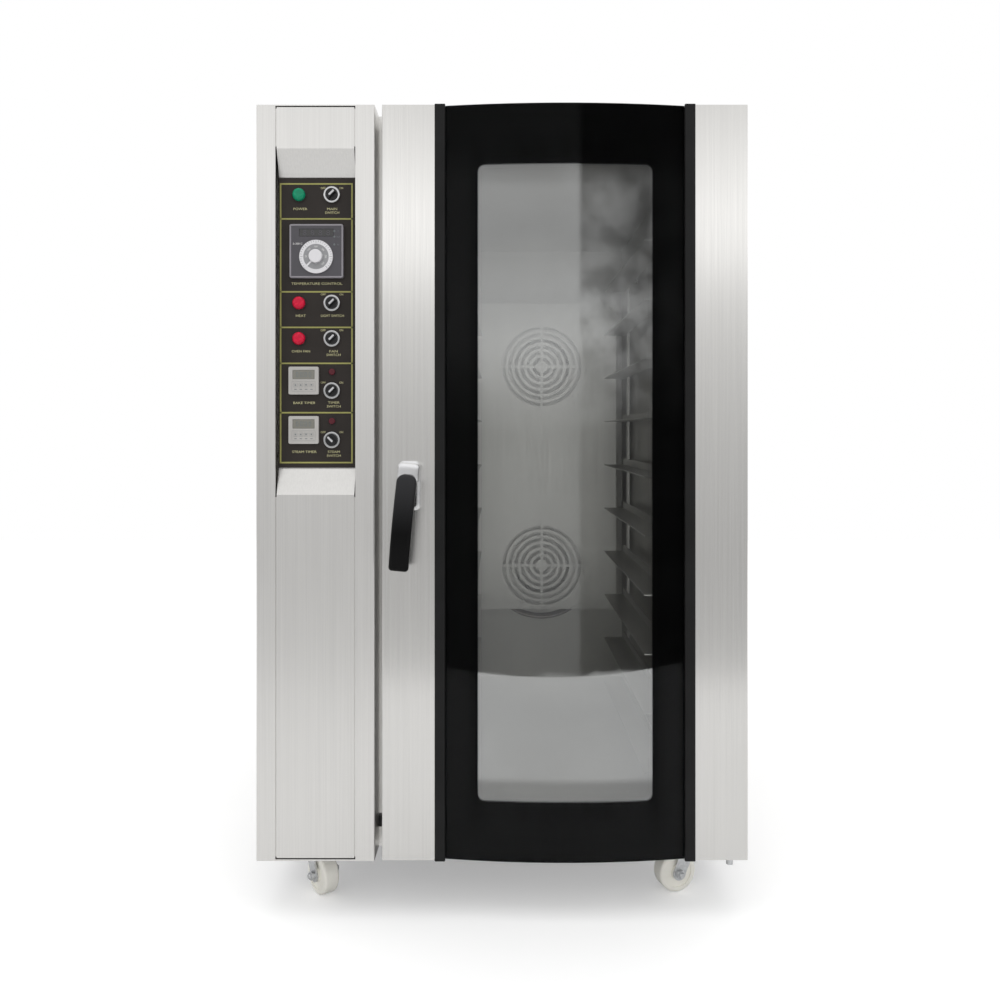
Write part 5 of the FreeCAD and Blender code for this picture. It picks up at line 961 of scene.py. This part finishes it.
class OVEN_OT_control_print(OvenOperator):
    """Lines and words printed on the control plate"""
    bl_idname = "oven.control_print"
    bl_label = "Control Print"

    def execute(self, context):
        sizes = context.scene.oven_sizes
        dress("panel_black", "control_plate")
        low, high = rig.box("control_plate")
        shift, line_shift, drop = 0.001, 0.0016, 0.002
        middle, top, front = (low.x + high.x) / 2, high.z, low.y
        border, half, proud = sizes.border, sizes.line / 2, sizes.print_height
        x, line_x, near, far = middle - shift, middle - line_shift, front - proud, front + SUNK
        spans = [(-border - half, border + half, row - half, row + half) for row in LINE_ROWS]
        for side in (-border, border):
            spans.append((side - half, side + half, LINE_ROWS[0] + half, LINE_ROWS[-1] - half))
        lines = bmesh.new()
        for left, right, above, below in spans:
            add_box(lines, (line_x + left, near, top - below), (line_x + right, far, top - above))
        finish_piece("panel_lines", lines, "cabinet", "panel_black", "print_line")
        words = bmesh.new()
        for text, across, row, wide in PANEL_WORDS:
            add_letters(words, text, x + across, top - row - drop, front, proud, wide, tall=0.0042)
        for row in SWITCH_ROWS:
            for text, across, wide in (("OFF", 0.0118, 0.0090), ("ON", 0.0445, 0.0066)):
                add_letters(words, text, x + across, top - row, front, proud, wide, tall=0.0036)
        finish_piece("panel_words", words, "cabinet", "panel_black", "print_letters")
        return {"FINISHED"}


class OVEN_OT_controller(OvenOperator):
    """Temperature controller with rim, display and graduated dial"""
    bl_idname = "oven.controller"
    bl_label = "Temperature Controller"

    def execute(self, context):
        dress("controller_face", "temperature_controller")
        dress("dial_white", "temperature_dial")
        self.case(context.scene.oven_sizes.print_height)
        self.dial(context.scene.oven_sizes.print_height)
        return {"FINISHED"}

    def case(self, proud):
        """Rim, display and marks of the case."""
        low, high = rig.box("temperature_controller")
        x, z, front = (low.x + high.x) / 2, (low.z + high.z) / 2, low.y
        side = high.x - low.x + 0.0006
        rim = bmesh.new()
        add_rim(rim, x, z, side, side, corner=0.0033, width=0.0031, back=front + 0.0078,
                front=front - 0.0009, ease=0.0006)
        finish_piece("controller_rim", rim, "cabinet", "controller_grey", "controller_rim")
        height = high.z - 0.015
        screen = bmesh.new()
        add_plate(screen, x, height, wide=0.0612, tall=0.0132, corner=0.0008, back=front + 0.0013,
                  front=front + 0.0007, ease=0.0002)
        finish_piece("controller_display", screen, "cabinet", "controller_grey", "display_dark")
        digits = bmesh.new()
        for across in spaced(x - 0.021, x + 0.021, 4):
            add_letters(digits, "8", across, height, front + 0.00075, proud, wide=0.0065,
                        tall=0.0098)
        finish_piece("display_segments", digits, "cabinet", "controller_grey", "controller_face")
        bead = [(0.0019, -0.0002), (0.0019, 0.0004), (0.0011, 0.0009)]
        marks, scale = bmesh.new(), bmesh.new()
        for row, text in ((0.0125, "C"), (0.0225, "OUT"), (0.0365, "AL")):
            up, wide = high.z - row, 0.0022 * len(text)
            add_letters(marks, text, x + 0.0395, up, front, proud, wide, tall=0.0028)
            add_turned(marks, aimed((x + 0.0325, front, up), TO_FRONT), bead, 16)
        add_letters(scale, "0-300 C", x - 0.0335, high.z - 0.0350, front, proud, wide=0.0170,
                    tall=0.0032)
        finish_piece("controller_marks", marks, "cabinet", "controller_grey", "print_dim")
        finish_piece("controller_scale", scale, "cabinet", "controller_grey", "print_white")

    def dial(self, proud):
        """Grey band with numbers, and ticks around it."""
        dial = middle_of("temperature_dial")
        face = face_depth("temperature_dial", dial.x, dial.z, start=0.0292, end=0.0305)
        top, under = face - 0.0004, face + 0.0001
        section = ((0.0121, under), (0.0121, top), (0.0225, top), (0.0228, under))
        band = bmesh.new()
        rings = [facing(circle(radius, 64), dial.x, y, dial.z) for radius, y in section]
        add_layers(band, rings, closed=True)
        finish_piece("dial_band", band, "temperature_dial", "dial_white", "dial_grey")
        start, sweep, steps, half = 225.0, 270.0, 30, 0.0002
        long, short, outer, ring = 0.0240, 0.0262, 0.0290, 0.0178
        ticks, numbers = bmesh.new(), bmesh.new()
        for step in range(steps + 1):
            angle = math.radians(start - sweep * step / steps)
            along = Vector((math.cos(angle), math.sin(angle)))
            aside = Vector((-along.y, along.x)) * half
            numbered = step % 5 == 0
            near, far = along * (long if numbered else short), along * outer
            tick = (near - aside, near + aside, far + aside, far - aside)
            layers = [facing(tick, dial.x, y, dial.z) for y in (face + SUNK, face - 0.00012)]
            add_layers(ticks, layers)
            if numbered:
                text = str(step * 10)
                place = Vector((dial.x, dial.z)) + along * ring
                add_letters(numbers, text, place.x, place.y, top, proud, wide=0.0019 * len(text),
                            tall=0.0030, turn=angle - math.pi / 2)
        finish_piece("dial_ticks", ticks, "temperature_dial", "dial_white", "print_dark")
        finish_piece("dial_numbers", numbers, "temperature_dial", "dial_white", "print_white")


class OVEN_OT_timers(OvenOperator):
    """Two timers with display and membrane keys"""
    bl_idname = "oven.timers"
    bl_label = "Timers"

    def execute(self, context):
        proud = context.scene.oven_sizes.print_height
        dress("timer_grey", "timers")
        low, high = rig.box("timers")
        x, front, tall = (low.x + high.x) / 2, low.y, 0.050
        screens, digits, keys, marks = [bmesh.new() for layer in range(4)]
        for top in (high.z, low.z + tall):
            show, face = top - 0.0142, front + 0.00065
            add_plate(screens, x, show, wide=0.0392, tall=0.0162, corner=0.0008,
                      back=front + 0.0013, front=front + 0.0006, ease=0.0002)
            for across, text in zip((-0.0115, -0.0040, 0.0, 0.0040, 0.0115), "00:00"):
                wide = 0.0046 if text == "0" else 0.0010
                add_letters(digits, text, x + across, show, face, proud, wide, tall=0.0094)
            add_rim(keys, x, top - 0.0352, wide=0.0430, tall=0.0190, corner=0.0020, width=0.0010,
                    back=front + 0.0003, front=front - 0.0004, ease=0.0002)
            for number in range(4):
                across, z = x - 0.0144 + 0.0096 * number, top - 0.0330
                add_plate(keys, across, z, wide=0.0076, tall=0.0074, corner=0.0014,
                          back=front + 0.0003, front=front - 0.0007, ease=0.0003)
                point = 1 if number < 2 else -1
                arrow = [(0.0, 0.0017), (-0.0017, -0.0012), (0.0017, -0.0012)]
                arrow = [(point * side, point * up) for side, up in arrow]
                layers = [facing(arrow, across, front - out, z) for out in (0.0006, 0.0008)]
                add_layers(marks, layers)
                add_box(marks, (across - 0.0022, front - 0.00012, top - 0.0414),
                        (across + 0.0022, front + 0.0001, top - 0.0402))
        finish_piece("timer_displays", screens, "cabinet", "timer_grey", "display_grey")
        finish_piece("timer_digits", digits, "cabinet", "timer_grey", "print_dim")
        finish_piece("timer_keys", keys, "cabinet", "timer_grey", "key_grey")
        finish_piece("timer_marks", marks, "cabinet", "timer_grey", "print_dim")
        return {"FINISHED"}


class OVEN_OT_selectors(OvenOperator):
    """Selector rings, knobs with pale pointers that are partly a painted highlight on the bar, and the panel lamps"""
    bl_idname = "oven.selectors"
    bl_label = "Selectors and Lamps"

    def execute(self, context):
        dress("chrome", "selector_bodies")
        dress("black_plastic", *KNOBS)
        dress("lamp_green", "power_lamp")
        dress("lamp_red", "red_lamps")
        dress("lamp_dark_red", "timer_lamps")
        for knob in KNOBS:
            low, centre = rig.box(knob)[0], middle_of(knob)
            angle = math.radians(-45.0 if knob == "steam_timer_knob" else 45.0)
            # pale strip on the knob's bar: a pointer mark, and partly a painted highlight of the bar
            mark = bmesh.new()
            add_plate(mark, 0.0, 0.0016, wide=0.0034, tall=0.0122, corner=0.0012, back=SUNK,
                      front=-0.0003, ease=0.0002)
            place = Matrix.Translation((centre.x, low.y, centre.z)) @ Matrix.Rotation(angle, 4, "Y")
            bmesh.ops.transform(mark, matrix=place, verts=mark.verts)
            finish_piece(knob + "_pointer_and_highlight", mark, knob, "black_plastic", "pointer_and_highlight_grey")
        self.collars()
        return {"FINISHED"}

    def collars(self):
        """Black collars around the lamps."""
        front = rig.box("control_plate")[0].y
        lamps = {"power_lamp": 0.0126, "red_lamps": 0.0126, "timer_lamps": 0.0068}
        collars = bmesh.new()
        for node, radius in lamps.items():
            low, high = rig.box(node)
            half = (high.x - low.x) / 2
            heights = [low.z + half] if node == "power_lamp" else [low.z + half, high.z - half]
            ease, inner, tall = radius - 0.0008, radius - 0.0018, 0.0018
            section = ((radius, 0.0), (radius, 0.0012), (ease, tall), (inner, tall), (inner, 0.0))
            for z in heights:
                matrix = aimed((low.x + half, front, z), TO_FRONT)
                add_turned(collars, matrix, section, 40, closed=True)
        finish_piece("lamp_collars", collars, "cabinet", "black_plastic", "black_plastic")


class OVEN_OT_services(OvenOperator):
    """Water inlet, cable gland and flue at the rear"""
    bl_idname = "oven.services"
    bl_label = "Services"

    def execute(self, context):
        dress("brass", "steam_supply")
        dress("black_plastic", "cable_gland")
        low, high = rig.box("steam_supply")
        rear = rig.box("rear_panel")[1].y
        nut, start, spare, pitch, radius = 0.020, 0.0075, 0.008, 0.0018, 0.0132
        crest, root, inner = radius + 0.0005, radius - 0.0004, radius - 0.0012
        ridge = [(root, 0.0), (crest, 0.35), (crest, 0.5), (root, 0.85)]
        ridge += [(inner, 0.85), (inner, 0.0)]
        matrix = aimed((low.x + nut, rear, low.z + nut), TO_REAR)
        ridges = bmesh.new()
        for turn in range(int((high.y - rear - spare) / pitch)):
            foot = start + turn * pitch
            section = [(reach, foot + share * pitch) for reach, share in ridge]
            add_turned(ridges, matrix, section, 32, closed=True)
        finish_piece("water_thread", ridges, "cabinet", "brass_fitting", "brass")
        flue = middle_of("exhaust_flue")
        flange, reach, radius = 0.002, 0.047, 0.0035
        screws = bmesh.new()
        for number in range(4):
            angle = math.radians(45 + 90 * number)
            x, z = flue.x + reach * math.cos(angle), flue.z + reach * math.sin(angle)
            add_screw(screws, (x, rear + flange, z), TO_REAR, radius)
        finish_piece("flue_screws", screws, "cabinet", "zinc_plate", "zinc_plate", smooth=True)
        return {"FINISHED"}


class OVEN_OT_casters(OvenOperator):
    """Casters with zinc forks, cream wheels and bolts"""
    bl_idname = "oven.casters"
    bl_label = "Casters"

    def execute(self, context):
        dress("zinc_plate", "caster_plates")
        plate, wide, deep = 0.004, 0.038, 0.025
        bolt, nut, axle_end = 0.0055, 0.0058, 0.0256
        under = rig.box("caster_plates")[1].z - plate
        bolts = bmesh.new()
        for name in CASTERS:
            dress("zinc_plate", name + "_fork")
            dress("wheel_plastic", name + "_wheel")
            pivot = JOINTS[name + "_swivel"]["pos_m"]
            for across in (-wide, wide):
                for along in (-deep, deep):
                    add_bolt(bolts, (pivot[0] + across, pivot[1] + along, under), DOWN, bolt)
            roll = JOINTS[name + "_roll"]
            axis, hub = Vector(roll["axis"]).normalized(), Vector(roll["pos_m"])
            nuts = bmesh.new()
            for side in (-axis, axis):
                add_bolt(nuts, hub + side * axle_end, side, nut)
            finish_piece(name + "_axle_nuts", nuts, name + "_caster", "zinc_plate", "zinc_plate")
        finish_piece("caster_bolts", bolts, "cabinet", "zinc_plate", "zinc_plate")
        return {"FINISHED"}


# Stage

# Room as brushed metal shows it, and as clear glass does: degrees above the horizon, strength
SOFT_ROOM = (
    (-90, 0.80), (-18, 0.80), (-14, 0.58), (-8, 0.50), (0, 0.60), (8.7, 0.82),
    (10.8, 1.30), (14, 1.30), (18, 0.96), (23, 0.78), (38, 1.0), (90, 1.0),
)
CLEAR_ROOM = (
    (-90, 1.0), (-18, 1.0), (-15.2, 0.95), (-14.9, 0.18), (-12, 0.20), (-8, 0.24), (0, 0.22),
    (2.5, 0.46), (6, 1.05), (9.5, 1.08), (11.5, 0.90), (15.5, 0.95), (17.8, 0.45), (25, 0.60),
    (40, 1.0),
)


class OVEN_OT_stage(OvenOperator):
    """Pale floor, soft studio light and the camera"""
    bl_idname = "oven.stage"
    bl_label = "Stage"

    def execute(self, context):
        stage = context.scene.oven_stage
        context.scene.view_settings.view_transform = "Standard"
        self.floor(context, stage.floor_front)
        self.world(context)
        self.lamp(context, "overhead", (0.0, -1.2, 3.4), lean=18.0, wide=3.2, deep=2.4,
                  power=stage.lamp_power, mirrored=False)
        low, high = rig.box("cavity_liner")
        behind, below = 0.08, 0.62
        place = ((low.x + high.x) / 2, low.y + behind, high.z - below)
        self.lamp(context, "oven_light", place, lean=80.0, wide=0.40, deep=0.90,
                  power=stage.oven_power, mirrored=True)
        self.camera(context, stage)
        return {"FINISHED"}

    def camera(self, context, stage):
        """Level camera before the door."""
        optics = bpy.data.cameras.new("camera")
        optics.lens = stage.lens
        optics.sensor_width = 36.0
        optics.shift_x = stage.shift_x
        optics.shift_y = stage.shift_y
        camera = bpy.data.objects.new("camera", optics)
        camera.location = stage.camera
        camera.rotation_euler = (math.radians(90.0), 0.0, 0.0)
        context.scene.collection.objects.link(camera)
        context.scene.camera = camera

    def floor(self, context, front):
        """Floor that reads white and keeps the shadow."""
        reach, under, glow = 5.0, -0.0005, 0.3
        sheet = bmesh.new()
        corners = ((-reach, -front), (reach, -front), (reach, reach), (-reach, reach))
        sheet.faces.new([sheet.verts.new((x, y, under)) for x, y in corners])
        mesh = bpy.data.meshes.new("floor")
        sheet.to_mesh(mesh)
        sheet.free()
        floor = bpy.data.objects.new("floor", mesh)
        context.scene.collection.objects.link(floor)
        made = Finish("floor_white", roughness=0.9, specular_ior_level=0.0)
        made.set("Base Color", made.tint(made.grain(3.0), (0.80, 0.80, 0.80), (0.82, 0.82, 0.82)))
        path = made.node("ShaderNodeLightPath").outputs
        seen = made.sums("MAXIMUM", path["Is Camera Ray"], path["Is Transmission Ray"])
        seen = made.sums("MAXIMUM", seen, path["Is Singular Ray"])
        made.set("Emission Color", WHITE)
        made.set("Emission Strength", made.sums("MULTIPLY", seen, glow))
        mesh.materials.append(made.material)
        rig.stage(floor)

    def world(self, context):
        """White to the camera; a soft room of light and shade to metal and glass."""
        world = bpy.data.worlds.new("studio")
        context.scene.world = world
        world.use_nodes = True
        world.node_tree.nodes.clear()
        made = Nodes(world.node_tree)
        sums = made.sums
        where = made.node("ShaderNodeTexCoord").outputs["Generated"]
        ways = made.node("ShaderNodeSeparateXYZ", {"Vector": where}).outputs
        degrees, waves, phase, swell = 180.0 / math.pi, 6.67, 0.58, 0.31
        turn = sums("ARCTAN2", ways["X"], sums("MULTIPLY", ways["Y"], -1.0))
        azimuth = sums("MULTIPLY", turn, degrees)
        rise = sums("MULTIPLY", sums("ARCSINE", ways["Z"]), degrees)
        swing = sums("COSINE", sums("ADD", sums("MULTIPLY", turn, waves), phase))
        cloud = made.clouds(made.vectors("MULTIPLY", where, (8.0, 8.0, 8.0)))
        ripple = sums("ADD", sums("MULTIPLY", swing, swell), sums("SUBTRACT", cloud, 0.5))
        wavy = sums("ADD", rise, ripple)
        soft = self.bands(made, rise, SOFT_ROOM)
        shade = self.side_shade(made, where, azimuth, rise, wavy)
        sharp = sums("MULTIPLY", self.bands(made, wavy, CLEAR_ROOM), sums("SUBTRACT", 1.0, shade))
        path = made.node("ShaderNodeLightPath").outputs
        change = sums("MULTIPLY", sums("SUBTRACT", sharp, soft), path["Is Singular Ray"])
        strength = sums("ADD", soft, change)
        room = made.node("ShaderNodeBackground", {"Color": WHITE, "Strength": strength})
        white = made.node("ShaderNodeBackground", {"Color": WHITE})
        seen = sums("MAXIMUM", path["Is Camera Ray"], path["Is Transmission Ray"])
        parts = {"Fac": seen, 1: room.outputs["Background"], 2: white.outputs["Background"]}
        mix = made.node("ShaderNodeMixShader", parts)
        made.node("ShaderNodeOutputWorld", {"Surface": mix.outputs["Shader"]})

    def bands(self, made, height, levels):
        """Strength that changes with the height above the horizon."""
        top = max(level for angle, level in levels)
        share = made.sums("DIVIDE", made.sums("ADD", height, 90.0), 180.0)
        ramp = made.node("ShaderNodeValToRGB", {"Fac": share})
        stops = ramp.color_ramp.elements
        while len(stops) < len(levels):
            stops.new(0.5)
        for stop, (angle, level) in zip(stops, levels):
            stop.position = (angle + 90) / 180
            stop.color = (level / top, level / top, level / top, 1.0)
        return made.sums("MULTIPLY", ramp.outputs["Color"], top)

    def side_shade(self, made, where, azimuth, rise, wavy):
        """Cloudy dark side of the room, to the right of the door; angles in degrees."""
        sums, slope = made.sums, made.slope
        across = sums("SUBTRACT", slope(azimuth, 6.6, 8.2), slope(azimuth, 38.0, 42.0))
        upward = sums("SUBTRACT", slope(wavy, -15.2, -14.9), slope(rise, 24.0, 30.0))
        above, crown = slope(rise, 8.0, 10.0), slope(rise, 15.0, 17.0)
        fade = sums("ADD", sums("MULTIPLY", above, 0.32), sums("MULTIPLY", crown, 0.68))
        upper = sums("SUBTRACT", slope(rise, -3.0, 2.0), fade)
        patch = made.clouds(made.vectors("MULTIPLY", where, (10.0, 10.0, 30.0)))
        mist = sums("MULTIPLY", slope(patch, 0.34, 0.68), 0.46)
        aside = sums("MULTIPLY", slope(azimuth, 8.0, 20.0), 0.3)
        lift = sums("MULTIPLY", upper, sums("ADD", 0.36, sums("SUBTRACT", mist, aside)))
        return sums("MULTIPLY", sums("MULTIPLY", across, upward), sums("SUBTRACT", 0.88, lift))

    def lamp(self, context, name, place, lean, wide, deep, power, mirrored):
        """Soft lamp facing down, leaning to the front or the rear."""
        light = bpy.data.lights.new(name, "AREA")
        light.shape = "RECTANGLE"
        light.size = wide
        light.size_y = deep
        light.energy = power
        lamp = bpy.data.objects.new(name, light)
        lamp.location = place
        lamp.rotation_euler = (math.radians(lean), 0.0, 0.0)
        lamp.visible_camera = False
        lamp.visible_glossy = mirrored
        context.scene.collection.objects.link(lamp)


class OVEN_PT_sidebar(bpy.types.Panel):
    """Lists the pieces of the oven"""
    bl_idname = "OVEN_PT_sidebar"
    bl_label = "Convection Oven"
    bl_space_type = "VIEW_3D"
    bl_region_type = "UI"
    bl_category = "Oven"

    def draw(self, context):
        for name in GROUPS:
            group = getattr(context.scene, name)
            for value in group.__annotations__:
                self.layout.prop(group, value)
        for operator in OPERATORS:
            self.layout.operator(operator.bl_idname)


OPERATORS = (
    OVEN_OT_finishes, OVEN_OT_casing, OVEN_OT_cavity, OVEN_OT_insulation, OVEN_OT_door,
    OVEN_OT_door_seal, OVEN_OT_handle, OVEN_OT_control_print, OVEN_OT_controller,
    OVEN_OT_timers, OVEN_OT_selectors, OVEN_OT_services, OVEN_OT_casters, OVEN_OT_stage,
)
GROUPS = {"oven_colours": OvenColours, "oven_sizes": OvenSizes, "oven_stage": OvenStage}


def register():
    """Adds the property groups, operators and panel."""
    for name, group in GROUPS.items():
        bpy.utils.register_class(group)
        setattr(bpy.types.Scene, name, bpy.props.PointerProperty(type=group))
    for operator in OPERATORS:
        bpy.utils.register_class(operator)
    bpy.utils.register_class(OVEN_PT_sidebar)


def unregister():
    """Takes them away again."""
    bpy.utils.unregister_class(OVEN_PT_sidebar)
    for operator in reversed(OPERATORS):
        bpy.utils.unregister_class(operator)
    for name, group in GROUPS.items():
        delattr(bpy.types.Scene, name)
        bpy.utils.unregister_class(group)


def main():
    """Dresses the whole oven and notes its box before and after."""
    register()
    bpy.ops.oven.finishes()
    bpy.ops.oven.casing()
    bpy.ops.oven.cavity()
    bpy.ops.oven.insulation()
    bpy.ops.oven.door()
    bpy.ops.oven.door_seal()
    bpy.ops.oven.handle()
    bpy.ops.oven.control_print()
    bpy.ops.oven.controller()
    bpy.ops.oven.timers()
    bpy.ops.oven.selectors()
    bpy.ops.oven.services()
    bpy.ops.oven.casters()
    bpy.ops.oven.stage()
    boxes = {
        "cad": [list(corner) for corner in CAD_BOX],
        "visual": [list(corner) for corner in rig.bounds()],
    }
    with open("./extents.json", "w") as out:
        json.dump(boxes, out)


if __name__ == "__main__":
    main()
